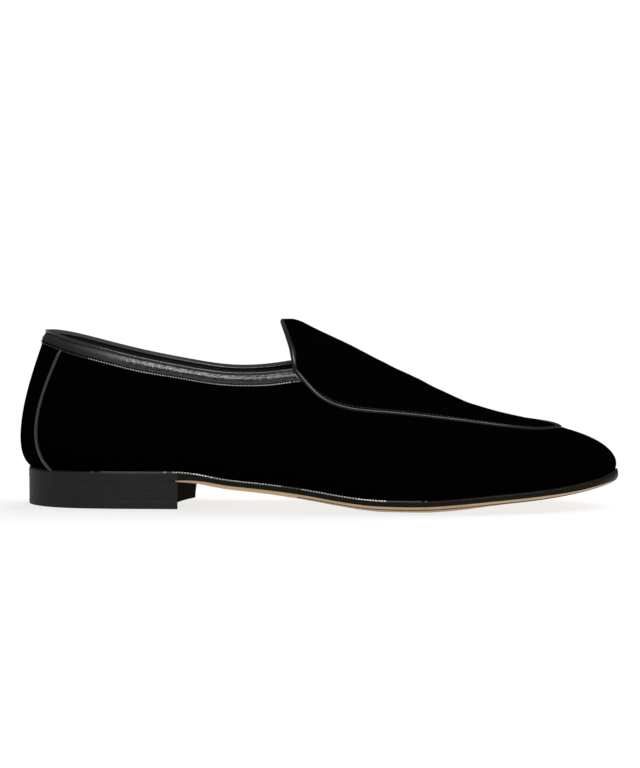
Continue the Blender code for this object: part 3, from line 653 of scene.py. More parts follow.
def tan_finish(name, pale, deep, speck, rough_low=0.5, rough_high=0.72):
    """Bare sole leather: fibres along the shoe, pale and deep patches, small dark specks."""
    n = Nodes(name, Specular_IOR_Level=0.35)
    fibres = n.noise(1600, 5, 0.7, vector=n.stretch(0.12, 0.5, 1.4))
    patches = n.ramp(n.noise(75, 5, 0.62, 0.6), (0.42, 0.0), (0.72, 1.0))
    specks = n.ramp(n.noise(1500, 2, 0.5), (0.66, 0.0), (0.76, 0.75))
    color = n.blend(n.ramp(fibres, (0.56, 0.0), (0.8, 0.6)), n.blend(patches, pale, deep), speck)
    rough = n.ramp(fibres, (0.3, rough_low), (0.7, rough_high))
    return n.finish(n.blend(specks, color, speck), rough, n.bump(fibres, 0.00015, 0.7))


def thread_finish(name, color, roughness):
    n = Nodes(name, Specular_IOR_Level=0.5)
    plies = n.noise(3600, 3, 0.6)
    rough = n.ramp(plies, (0.3, roughness), (0.7, min(roughness + 0.2, 1.0)))
    return n.finish(n.blend(plies, color, tuple(1.8 * c for c in color)), rough, n.bump(plies, 0.0001, 0.6))


CALF = (0.0025, 0.0025, 0.0026), (0.005, 0.005, 0.0052)
TRIM_GLOSS = (0.28, 0.34, 0.40, 0.46, 0.52, 0.58, 0.64, 0.70)
velvet = velvet_finish()
trim = [leather_finish("trim_calf_%d" % zone, *CALF, 0.16, 0.30, gloss=gloss, crackle=0.0003,
                       dull_behind=(20, 62)) for zone, gloss in enumerate(TRIM_GLOSS)]
trim_bead = [leather_finish(name, *CALF, 0.22, 0.34, wrinkles=0.1, gloss=0.55, dull_behind=dull_behind)
             for name, dull_behind in (("trim_bead_outer", None), ("trim_bead_inner", (55, 88)))]
trim_inside = leather_finish("trim_inside", *CALF, 0.4, 0.6, gloss=0.15)
# The heel cords are painted several times lighter than the apron cord, as a painted highlight.
heel_cord_painted_highlight = leather_finish(
    "heel_piping_calf_painted_highlight", (0.012, 0.012, 0.012), (0.021, 0.0207, 0.0203), 0.22, 0.36, gloss=0.6)
cord_leather = leather_finish(
    "piping_calf", (0.0035, 0.0035, 0.0035), (0.0065, 0.0064, 0.0062), 0.13, 0.22, grain=1700, depth=0.00004,
    wrinkles=0.1, gloss=0.22)
lining = leather_finish(
    "lining_calf", (0.009, 0.0095, 0.012), (0.017, 0.017, 0.021), 0.45, 0.7, 1500, 0.00007, 0.2)
sock = leather_finish(
    "sock_calf", (0.012, 0.012, 0.013), (0.022, 0.021, 0.022), 0.45, 0.68, 1200, 0.00010, 0.35)
sole_edge = edge_finish()
heel_ink = heel_finish()
breast_ink = dull_finish("breast_ink", (0.007, 0.0062, 0.0048), (0.015, 0.0135, 0.0105))
# Near-black dots painted as the shade inside the needle holes.
needle_hole_painted_shade = dull_finish("needle_hole_painted_shade", (0.001, 0.001, 0.001), (0.002, 0.002, 0.002))
tan = tan_finish("tan_bevel", (0.58, 0.395, 0.235), (0.47, 0.30, 0.17), (0.20, 0.11, 0.06))
# Dark brown for the channel line under the sole and for a band of painted shade low on the bevel.
channel_and_painted_shade = tan_finish("channel_line_and_painted_shade", (0.05, 0.027, 0.015), (0.026, 0.014, 0.009), (0.012, 0.008, 0.006))
tread = tan_finish("tan_tread", (0.46, 0.31, 0.19), (0.34, 0.21, 0.12), (0.12, 0.07, 0.045), 0.42, 0.75)
thread = thread_finish("black_thread", (0.010, 0.010, 0.011), 0.42)
# Grey thread painted as the hem stitches' highlight.
hem_thread_painted_highlight = thread_finish("grey_thread_painted_highlight", (0.25, 0.25, 0.245), 0.3)
# Edge beads painted in steps from dark grey to near white, as highlights on the wheeled line.
bead_painted_faint_highlight = thread_finish("edge_bead_faint", (0.05, 0.048, 0.044), 0.35)
bead_painted_highlight = thread_finish("edge_bead_bright", (0.26, 0.25, 0.235), 0.28)
bead_painted_glint = thread_finish("edge_bead_worn", (0.52, 0.50, 0.46), 0.4)
top_lift = leather_finish("top_lift", (0.011, 0.011, 0.011), (0.02, 0.0195, 0.019), 0.5, 0.75, 900, 0.00012)


# Upper

def grooves(station):
    return GROOVE_DEPTH * smooth((station - 1) / GROOVE_FADE)


def seam_normals(side, stations):
    return normal_of(wall, side, np.minimum(stations, 2 - 2 * STEP), np.full(stations.shape, 0.97))


# Soft creases: troughs with a raised lip on each side, as start, end, depth and width in millimetres.
# Those of the wall run in x and z, those of the apron in x and y.
WALL_CREASES = {
    OUTER: (
        ((176, 45), (188, 22), 0.30, 3.4), ((197, 42), (204, 21), 0.38, 3.0),
        ((214, 37), (217, 20), 0.28, 2.8), ((64, 50), (104, 44), 0.30, 5.5),
        ((120, 42), (142, 24), 0.25, 5.0),
    ),
    INNER: (
        ((178, 47), (186, 22), 0.34, 3.2), ((200, 43), (206, 22), 0.36, 3.0),
        ((219, 37), (221, 21), 0.26, 2.8), ((66, 49), (102, 42), 0.30, 5.5),
        ((118, 40), (138, 22), 0.28, 5.0),
    ),
}
APRON_CREASES = (
    ((181, -30), (184, 30), 0.12, 3.6), ((202, -25), (201, 26), 0.14, 3.6),
    ((221, -20), (218, 21), 0.10, 3.2), ((252, -6), (262, -2), 0.30, 1.5),
    ((251, 6), (261, 2), 0.30, 1.5),
)
# How many ribs stand behind and in front of the joint, and how deep the points next to the seam lie.
REAR_DENSE, FRONT_DENSE = 190, 230
TOP_DEPTHS = np.array([1.7, 1.45, 1.2, 1.0, 0.8, 0.6, 0.45, 0.3, 0.15]) * MM
QUARTER_ROWS, APRON_ROWS = 34, 30
VELVET = 1.2 * MM
front_steps = np.linspace(0, 1, FRONT_DENSE + 1)
front_shares = front_steps - 0.06 * np.sin(2 * math.pi * front_steps)
dense_stations = np.concatenate([np.linspace(0, 1, REAR_DENSE + 1) ** 1.15, 1 + front_shares[1:]])


def crease_push(first, second, creases):
    """How far creases push the surface outwards at points given in the creases' own two coordinates."""
    push = np.zeros(first.shape)
    for start, end, depth, width in creases:
        start, end = np.array(start) * MM, np.array(end) * MM
        run = end - start
        share = ((first - start[0]) * run[0] + (second - start[1]) * run[1]) / np.linalg.norm(run)**2
        away = np.hypot(first - start[0] - share * run[0], second - start[1] - share * run[1]) / (width * MM)
        fade = smooth((share + 0.25) / 0.5) * smooth((1.25 - share) / 0.5)
        push += fade * depth * MM * (0.42 * np.exp(-2.2 * (away - 1.8) ** 2) - np.exp(-away**2))
    return push


def waves(points, size, seed):
    """A smooth, level-averaged ripple over points: a few crossing waves of about this size."""
    dice = np.random.default_rng(seed)
    total = np.zeros(points.shape[:-1])
    for _ in range(7):
        direction = unit(dice.normal(size=3)) * 2 * math.pi / (size * dice.uniform(0.7, 1.6))
        total += np.sin(points @ direction + dice.uniform(0, 2 * math.pi))
    return total / 7


def roll_in(depth):
    """How far the velvet has turned into the seam at this depth from it."""
    return (1 - np.clip(depth / GROOVE_HALF, 0, 1)) ** 1.8


def back_strip(shares):
    """The station of the back strip's edge at shares of the wall's height."""
    straight = BACK_STRIP_FOOT + (BACK_STRIP_TOP - BACK_STRIP_FOOT) * shares
    return straight - BACK_STRIP_BOW * np.sin(math.pi * shares)


def quarter_points(side, stations):
    near = length_shares(wall, side, stations, -TOP_DEPTHS[None, :])
    low = near[:, :1] * np.linspace(0, 1, QUARTER_ROWS)[None, :-1]
    shares = np.concatenate([low, near, np.ones((len(stations), 1))], axis=1)
    ribs = stations[:, None]
    points, normals = wall(side, ribs, shares), normal_of(wall, side, ribs, shares)
    push = crease_push(points[..., 0], points[..., 2], WALL_CREASES[side])
    push += 0.10 * MM * waves(points, 0.016, 3)
    # The panels are held flat along the sole, the collar and the seam.
    held = smooth(shares * 5) * smooth((1 - shares) * 7)
    raised = 0.28 * MM * smooth((back_strip(shares) - ribs) / 0.006 + 0.5)
    points = points + normals * (push * held + raised)[..., None]
    sunk = grooves(ribs) * roll_in(np.concatenate([np.ones(low.shape[1]), TOP_DEPTHS, [0]]))
    return points - seam_normals(side, stations)[:, None] * sunk[..., None]


def apron_points(side, forward):
    near = length_shares(apron, side, forward, TOP_DEPTHS[None, ::-1])
    high = near[:, -1:] + (1 - near[:, -1:]) * np.linspace(0, 1, APRON_ROWS)[None, 1:]
    shares = np.concatenate([np.zeros((len(forward), 1)), near, high], axis=1)
    ribs = forward[:, None]
    points = apron(side, ribs, shares)
    normals = normal_of(apron, side, np.clip(ribs, 0.006, 1 - 0.006), np.clip(shares, 0.01, 0.985))
    push = crease_push(points[..., 0], points[..., 1], APRON_CREASES)
    push += 0.08 * MM * waves(points, 0.014, 5)
    held = smooth(shares * 6) * smooth(ribs / 0.05) * smooth((1 - ribs) / 0.04)
    points = points + normals * (push * held)[..., None]
    sunk = grooves(1 + ribs) * roll_in(np.concatenate([[0], TOP_DEPTHS[::-1], np.ones(high.shape[1])]))
    return points - seam_normals(side, 1 + forward)[:, None] * sunk[..., None]


def build_quarters():
    points, index = loft(np.concatenate([quarter_points(OUTER, dense_stations[::-1]),
                                         quarter_points(INNER, dense_stations[1:-1])]))
    points, groups = shell(points, [grid_faces(index, closed_rows=True)], 0.0, VELVET)
    add_piece("velvet_quarters", points, groups, velvet, "velvet", ["upper"])


def halves_met(outer, inner):
    """Faces of two half sheets whose numbers are made to share the ridge and the rib at the tip."""
    inner[-1] = outer[-1]
    inner[:, -1] = outer[:, -1]
    return [grid_faces(outer)[:, ::-1], grid_faces(inner)]


def facing_up(points, groups):
    return groups if point_normals(points, groups)[:, 2].sum() >= 0 else [g[:, ::-1] for g in groups]


def build_apron():
    """The apron and tongue as one sheet."""
    points, index = loft(apron_points(OUTER, front_shares))
    points = np.concatenate([points, apron_points(INNER, front_shares).reshape(-1, 3)])
    points, groups = compact(points, halves_met(index, index + index.size))
    points, groups = shell(points, facing_up(points, groups), 0.0, VELVET)
    add_piece("velvet_apron", points, groups, velvet, "velvet")


def build_lining():
    """The inner skin, a little under the velvet, all round and under the tongue."""
    front, up = np.linspace(0, 1, 91), np.linspace(0, 1, 26)[None, 1:]
    stations, shares = np.concatenate([front, 1 + front[1:]]), np.linspace(0, 1, 30)[None, :]
    points, index = loft(np.concatenate([wall(OUTER, stations[::-1, None], shares),
                                         wall(INNER, stations[1:-1, None], shares)]))
    points, count = [points], len(stations)
    # The tongue's halves start from the wall's top, each from the joint to the toe.
    tops = index[:count][::-1][90:, -1], np.append(index[count:][89:, -1], index[0, -1])
    maps = []
    for side, top in zip((OUTER, INNER), tops):
        laid, numbers = loft(apron(side, front[:, None], up))
        maps.append(np.concatenate([top[:, None], sum(map(len, points)) + numbers], axis=1))
        points.append(laid)
    groups = [grid_faces(index, closed_rows=True), *halves_met(*maps)]
    points, groups = compact(np.concatenate(points), groups)
    # The wall's faces look away from the shoe's middle, the tongue's look up.
    if ((points - points.mean(axis=0)) * point_normals(points, groups[:1])).sum() < 0:
        groups[0] = groups[0][:, ::-1]
    groups[1:] = [facing_up(points, [g])[0] for g in groups[1:]]
    points, groups = shell(points, groups, 1.25 * MM, WALL)
    add_piece("lining", points, groups, lining, "lining_leather")


# Collar band

# Outlines of the band across the collar, in millimetres. The flaps are pairs of a depth under the collar's
# edge and a height over the wall, the bead between them is pairs of reaches outwards and upwards.
BAND_PITCH = 1.35 * MM
BAND_ROW, BAND_ROW_INSIDE = 5.90 * MM, 5.7 * MM
BAND_STEPS = np.linspace(0, 1, 660)
BAND_OUTSIDE = np.array([
    (6.72, 0.08), (6.80, 0.20), (6.80, 0.34), (6.70, 0.44), (6.50, 0.48), (6.30, 0.42), (6.12, 0.34),
    (5.96, 0.34), (5.84, 0.52), (5.74, 0.78), (5.60, 0.98), (5.35, 1.12), (4.95, 1.20), (4.50, 1.26),
    (4.05, 1.31), (3.60, 1.34), (3.20, 1.34), (2.80, 1.28), (2.40, 1.14), (2.00, 0.95), (1.60, 0.74),
    (1.25, 0.55), (1.00, 0.44), (0.82, 0.42), (0.68, 0.52), (0.52, 0.73), (0.34, 0.92), (0.15, 1.00),
]) * MM
BAND_OVER = np.array([
    (0.98, 0.28), (0.86, 0.58), (0.58, 0.82), (0.20, 0.94), (-0.20, 0.93), (-0.60, 0.84), (-1.05, 0.70),
    (-1.50, 0.55), (-2.00, 0.40), (-2.50, 0.22), (-2.90, 0.02),
]) * MM
BAND_INSIDE = np.array([
    (0.3, 0.74), (0.75, 0.60), (0.95, 0.58), (1.5, 0.76), (2.2, 0.96), (2.9, 1.12), (3.6, 1.16), (4.3, 1.06),
    (4.9, 0.88), (5.4, 0.66), (5.7, 0.54), (6.0, 0.56), (6.3, 0.54), (6.5, 0.40), (6.55, 0.20), (6.5, 0.05),
]) * MM


def total_length(points):
    return np.linalg.norm(np.diff(points, axis=0), axis=1).sum()


def band_rows(side, depths):
    """Where each row of the outer flap ends under the piping, and its share of the ribs at any station."""
    marks, ahead, samples = np.linspace(0, 1, 500), np.linspace(0, 0.09, 90), np.linspace(0, 1, 300)
    behind = length_shares(wall, side, marks, -np.maximum(depths, 1e-5)[None, :])
    ribs = wall(side, 1 + ahead[:, None], samples[None, :])
    near = collar(side, np.array([0.97, 1.0]))
    slope = (near[1, 2] - near[0, 2]) / (near[1, 0] - near[0, 0])
    ends, after = [], []
    for first in behind[-1]:
        run = wall(side, 1 + ahead, np.full(len(ahead), first))
        level = run[0, 2] + slope * (run[:, 0] - run[0, 0])
        after.append([np.interp(z, rib[:, 2], samples) for z, rib in zip(level, ribs)])
        met = np.nonzero(ribs[:, -1, 2] <= level)[0]
        ends.append(1 + (ahead[met[0]] if len(met) else ahead[-1]))

    def shares_at(stations):
        return np.stack([np.where(at <= 1, np.interp(at, marks, rear), np.interp(at - 1, ahead, front))
                         for at, rear, front in zip(stations.T, behind.T, after)], axis=1)

    return np.array(ends), shares_at


def narrower(along):
    """How much narrower the band is at a length along the collar."""
    forward = smooth((along - 60 * MM) / (25 * MM))
    return 0.7 * MM * forward * (1 - 0.5 * smooth((along - 115 * MM) / (15 * MM)))


def band_points(side, steps):
    """One side of the band over the collar: a flap outside, a bead over the edge, a flap inside."""
    length = total_length(collar(side, np.linspace(0, 1, 400)))
    along = steps * length
    worn = smooth((along - 18 * MM) / (40 * MM))
    dice = np.random.default_rng(11 if side == OUTER else 12)
    outside = np.broadcast_to(BAND_OUTSIDE, (len(steps), *BAND_OUTSIDE.shape)).copy()
    depth, height = outside[..., 0], outside[..., 1]
    plain_depth = BAND_OUTSIDE[:, 0]
    depth -= narrower(along)[:, None] * plain_depth / BAND_OUTSIDE[0, 0]
    # Each stitch pulls the flap down and its hem up a little.
    beat = np.abs(np.sin(math.pi * along / BAND_PITCH))[:, None]
    near_row = np.exp(-((plain_depth - BAND_ROW) / (0.45 * MM)) ** 2)
    height -= 0.40 * MM * (1 - beat) ** 2 * near_row
    depth += 0.14 * MM * beat * smooth((plain_depth - 6.2 * MM) / (0.5 * MM))
    # Short creases run up from the stitches, and the padding swells between them.
    place = 6 * MM
    while place < length:
        reach, slant = dice.uniform(1.2, 3.2) * MM, dice.uniform(-0.4, 0.4)
        width, deep = dice.uniform(0.28, 0.55) * MM, dice.uniform(0.05, 0.20) * MM
        middle = place + slant * (5.9 * MM - depth)
        window = smooth((depth - (5.9 * MM - reach)) / (1.0 * MM)) * smooth((6.15 * MM - depth) / (0.4 * MM))
        swell = 0.5 * np.exp(-((along[:, None] - middle - 2.2 * width) / (1.6 * width)) ** 2)
        height += worn[:, None] * deep * window * (swell - np.exp(-((along[:, None] - middle) / width) ** 2))
        place += dice.uniform(1.3, 2.4) * MM
    # Mottled swellings along the upper third.
    place = 4 * MM
    while place < length:
        at, width = dice.uniform(1.1, 3.4) * MM, dice.uniform(0.5, 1.2) * MM
        tall = dice.uniform(-0.07, 0.08) * MM
        spot = ((along[:, None] - place) / width) ** 2 + ((depth - at) / (0.6 * MM)) ** 2
        height += (0.25 + 0.75 * worn[:, None]) * tall * np.exp(-spot)
        place += dice.uniform(0.45, 1.0) * MM
    # The rows run on below the seam until they pass under the piping, the lowest ones furthest.
    ends, shares_at = band_rows(side, plain_depth)
    turn = 0.93
    onward = np.clip((steps[:, None] - turn) / (1 - turn), 0, 1)
    stations = np.where(steps[:, None] <= turn, steps[:, None], turn + (ends[None, :] - turn) * onward)
    high = np.clip(shares_at(stations) - (depth - plain_depth) / (55 * MM), 0, 1)
    base = wall(side, stations, high)
    normals = normal_of(wall, side, stations, high)
    tucked = 0.3 + 0.7 * smooth((1 - steps) * length / (1.8 * MM))
    tucked *= 0.72 + 0.28 * smooth(along / (30 * MM))
    height = 0.05 * MM + (height - 0.05 * MM) * tucked[:, None]
    flat = np.minimum(steps, 0.9985)
    ribs = flat[:, None]
    out = normal_of(wall, side, ribs, np.full((1, 1), 0.999))
    top = wall(side, ribs, np.full((1, 1), 1.0))
    rising = unit(top - wall(side, ribs, np.full((1, 1), 0.98)))
    wave = 1 + 0.012 * np.sin(2 * math.pi * along / (3.1 * MM) + 2 * np.sin(along / (9 * MM)))
    over = top + out * BAND_OVER[None, :, 0:1] + rising * (BAND_OVER[None, :, 1:2] * wave[:, None, None])

    def under(depths, lift):
        """Points inside the wall at depths below its top."""
        shares = length_shares(wall, side, flat, -depths[None, :])
        return wall(side, ribs, shares) - normal_of(wall, side, ribs, shares) * lift

    inner_depth = BAND_INSIDE[:, 0]
    pull = 0.2 * MM * (1 - beat) ** 2 * np.exp(-((inner_depth[None, :] - BAND_ROW_INSIDE) / (0.4 * MM)) ** 2)
    inside = under(inner_depth, (WALL + BAND_INSIDE[None, :, 1] - pull)[..., None])
    back_depths = np.array([5.92, 4.5, 2.8, 1.25]) * MM
    crossing = top + out * (np.array([-2.2, -1.1, 0.0]) * MM)[None, :, None] + rising * 0.04 * MM
    rows = [int(np.argmin(abs(plain_depth - d))) for d in back_depths]
    under_outside = (base[:, rows] + normals[:, rows] * 0.02 * MM)[:, ::-1]
    outer_flap = base + normals * height[..., None]
    under_inside = under(back_depths, 2.24 * MM)
    return np.concatenate([outer_flap, over, inside, under_inside, crossing, under_outside], axis=1)


def build_band():
    outer = band_points(OUTER, BAND_STEPS[::-1])
    laid = np.concatenate([outer, band_points(INNER, BAND_STEPS[1:])])
    rows, count = laid.shape[:2]
    # Finishes: zones of the outer flap, glossier towards the front, the bead's two sides, the inside.
    zones, flap, over = len(TRIM_GLOSS), len(BAND_OUTSIDE), len(BAND_OVER)
    kinds = np.array([0] * (flap - 3) + [zones] * (over + 3) + [zones + 2] * (count - flap - over))
    kinds = np.tile(kinds, (rows - 1, 1))
    zone = np.clip((laid[:-1, :, 0] - 0.020) / 0.0055, 0, zones - 1).astype(int)
    kinds = np.where(kinds == 0, zone, kinds)
    far = (np.arange(rows - 1) >= len(outer))[:, None]
    kinds = np.where((kinds == zones) & far, zones + 1, kinds)
    add_piece("collar_band", *capped(laid), [*trim, *trim_bead, trim_inside], "trim_leather",
              ["collar_binding"], [kinds.ravel(), 0, 0], sharp=60)


def wall_stitches(side, depth, lift, phase, end, *size):
    """A row of stitches under the collar's edge, on the outside or, with a negative lift, inside."""
    total = total_length(collar(side, np.linspace(0, 1, 400)))
    marks = (np.arange(end * total / BAND_PITCH) + phase) * BAND_PITCH
    marks = marks[marks < end * total]
    ribs = (marks / total)[:, None]
    depths = depth - narrower(marks)[:, None] * (depth / BAND_OUTSIDE[0, 0] if lift > 0 else 0.0)
    shares = length_shares(wall, side, ribs[:, 0], -depths)
    places = wall(side, ribs, shares)[:, 0]
    normals = normal_of(wall, side, ribs, shares)[:, 0]
    ahead = wall(side, ribs + 0.003, shares)[:, 0]
    return stitches(places + normals * lift, ahead - places, normals if lift > 0 else -normals, *size)


def joined(parts):
    points, groups, start = [], [], 0
    for laid, faces in parts:
        points.append(laid)
        groups += [g + start for g in faces]
        start += len(laid)
    return np.concatenate(points), groups


def build_band_stitches():
    """Thread along the hem, painted grey as its highlight and black round the heel, where no highlight is
    painted; needle holes above it painted as dark dots of shade; and a row inside.
    """
    points, groups = joined([
        wall_stitches(side, depth * MM, lift * MM, phase, end, length * MM, width * MM, height * MM)
        for side in (OUTER, INNER)
        for depth, lift, phase, end, length, width, height in (
            (6.48, 0.44, 0.5, 0.99, 0.88, 0.50, 0.42), (5.60, 0.90, 1.0, 0.97, 0.55, 0.75, 0.45),
            (BAND_ROW_INSIDE / MM, -2.72, 0.5, 0.99, 0.92, 0.34, 0.30))
    ])
    marks = []
    for number, g in enumerate(groups):
        shade = (0, 2, 1)[number // 2 % 3]
        # The hem's grey thread is a painted highlight; round the heel, where no highlight is painted, it
        # takes the black thread.
        behind = points[g][:, :, 0].mean(axis=1) < 0.032
        marks.append(np.where(behind & (shade == 0), 1, shade))
    add_piece("collar_stitches", points, groups, [hem_thread_painted_highlight, thread, needle_hole_painted_shade], "trim_leather",
              finish_rows=marks)


# Piping

def cord_section(fin):
    """A round cord whose leather runs down into the seam as a fin, in shares of its radius."""
    turns = np.linspace(0, 2 * math.pi, 22, endpoint=False)
    section = np.stack([np.sin(turns), np.cos(turns)], axis=1)
    low = np.clip((-section[:, 1] - 0.72) / 0.28, 0, 1)
    section[:, 1] -= low * fin
    section[:, 0] *= 1 - 0.35 * low
    return section


def seam_cord(side, forward):
    """The cord's middles and ups along the apron seam, in the groove between the two panels."""
    station = 1 + np.clip(forward, STEP, 1 - STEP)
    along = unit(shoulder(side, station + STEP) - shoulder(side, station - STEP))
    up = unit(wall(side, station, 1.0) - wall(side, station, 0.98))
    depth = grooves(1 + forward)
    slope = depth / (GROOVE_HALF * np.linalg.norm(np.cross(along, up), axis=-1))
    lift = (PIPING_RADIUS + 0.12 * MM) * np.sqrt(1 + slope * slope) - depth
    ups = seam_normals(side, 1 + forward)
    return shoulder(side, 1 + forward) + lift[:, None] * ups, ups


def tongue_cord(side, shares):
    """The cord's middles and ups along the tongue's free edge, behind which it rolls."""
    zero = np.zeros(len(shares))
    edge = apron(side, zero, shares)
    face = normal_of(apron, side, np.full(len(shares), 0.006), np.clip(shares, 0.01, 0.99))
    ahead, before = np.minimum(shares + 0.01, 1), np.maximum(shares - 0.01, 0)
    along = unit(apron(side, zero, ahead) - apron(side, zero, before))
    behind = unit(side * np.cross(along, face))
    turn = np.minimum(shares / PIPING_ROLL, 1)[:, None] * math.pi / 2
    drop = np.clip(shares / PIPING_ROLL - 1, 0, 1)[:, None] * WALL / 2
    reach = PIPING_RADIUS + 0.12 * MM
    ups = unit(face * np.cos(turn) + behind * np.sin(turn))
    return edge + face * (reach * np.cos(turn) - drop) + behind * reach * np.sin(turn), ups


def build_apron_cord():
    """One closed run: round the apron seam, then over the tongue's free edge."""
    forward = np.concatenate([np.linspace(0, 0.03, 12)[:-1], np.linspace(0.03, 1, 420)])
    shares = np.linspace(0, 1, 130) ** 1.1
    parts = [seam_cord(OUTER, forward), seam_cord(INNER, forward[-2::-1]),
             tongue_cord(INNER, shares[1:]), tongue_cord(OUTER, shares[-2:0:-1])]
    middles, ups = (np.concatenate(values) for values in zip(*parts))
    for _ in range(6):
        middles = 0.25 * np.roll(middles, 1, axis=0) + 0.5 * middles + 0.25 * np.roll(middles, -1, axis=0)
        ups = unit(0.25 * np.roll(ups, 1, axis=0) + 0.5 * ups + 0.25 * np.roll(ups, -1, axis=0))
    lengths = run_lengths(middles)
    wrinkles = 1 + 0.012 * np.sin(2 * math.pi * lengths / (1.9 * MM)) * np.sin(lengths / (7 * MM))
    wrinkles += 0.015 * np.sin(lengths / (4.3 * MM) + 1)
    wrinkles *= 1 + 0.35 * smooth((shoulder(OUTER, 1.0)[0] + 2 * MM - middles[:, 0]) / (3 * MM))
    points, groups = sweep(middles, ups, PIPING_RADIUS * cord_section(0.55), True, wrinkles)
    add_piece("apron_cord", points, groups, cord_leather, "trim_leather", ["apron_piping"], sharp=60)


def build_apron_stitches():
    """Stitches beside the piping, on the apron's side."""
    forward, depth = np.linspace(0.02, 0.985, 600), 1.55 * MM
    rows = []
    for side in (OUTER, INNER):
        shares = length_shares(apron, side, forward, np.full((1, 1), depth))
        line = apron(side, forward[:, None], shares)[:, 0]
        normals = normal_of(apron, side, forward[:, None], shares)[:, 0]
        line = line - seam_normals(side, 1 + forward) * (grooves(1 + forward) * roll_in(depth))[:, None]
        lengths = run_lengths(line)
        marks = np.arange(1.2 * MM, lengths[-1] - 1 * MM, 2.1 * MM)
        places, ahead, ups = (
            np.stack([np.interp(at, lengths, values[:, k]) for k in range(3)], axis=1)
            for at, values in ((marks, line), (marks + 0.4 * MM, line), (marks, normals)))
        ups = unit(ups)
        rows.append(stitches(places + ups * 0.05 * MM, ahead - places, ups, 1.5 * MM, 0.32 * MM, 0.30 * MM))
    add_piece("apron_stitches", *joined(rows), thread, "trim_leather")


def build_heel_cord(name, side, node):
    """The cord down one edge of the back strip, from under the band to the sole."""
    shares = np.linspace(1, 0, 150)
    stations = back_strip(shares)
    heights_up = length_shares(wall, side, stations, np.full((1, 1), -6.1 * MM))[:, 0] * shares
    ups = normal_of(wall, side, stations, heights_up)
    sink = 0.9 * MM * smooth((shares - 0.955) / 0.045)
    middles = wall(side, stations, heights_up) + ups * (HEEL_PIPING_RADIUS * 0.85 + 0.15 * MM - sink)[:, None]
    lengths = run_lengths(middles)
    wrinkles = 1 + 0.02 * np.sin(lengths / (1.1 * MM)) * np.sin(lengths / (6 * MM) + 0.5)
    points, groups = sweep(middles, ups, HEEL_PIPING_RADIUS * cord_section(0.5), False, wrinkles)
    add_piece(name, points, groups, heel_cord_painted_highlight, "trim_leather", [node], sharp=60)


# Sole and heel

EDGE_POINTS = 420
EDGE, TAN, TREAD, LINE, OVER_HEEL, LOW_PAINTED_SHADE = range(6)


def round_sole(values):
    """Values of an edge function all round the sole: from the heel by the outer side to the toe and back."""
    shares = np.linspace(0, 1, EDGE_POINTS)
    return np.concatenate([values(OUTER, shares), values(INNER, shares)[-2:0:-1]])


def strip_caps(index):
    """Faces that close a lofted grid below and above: strips across rings whose points face each other."""
    caps = []
    for ring in (index[0], index[-1]):
        count, half = len(ring), len(ring) // 2
        k = np.arange(1, half - 1)
        caps += [np.stack([ring[k], ring[k + 1], ring[count - k - 1], ring[count - k]], axis=1),
                 np.array([(ring[0], ring[1], ring[-1]), (ring[half - 1], ring[half], ring[half + 1])])]
    return [caps[0][:, [0, 3, 2, 1]], caps[1][:, ::-1], np.roll(caps[2], -1, axis=1), caps[3]]


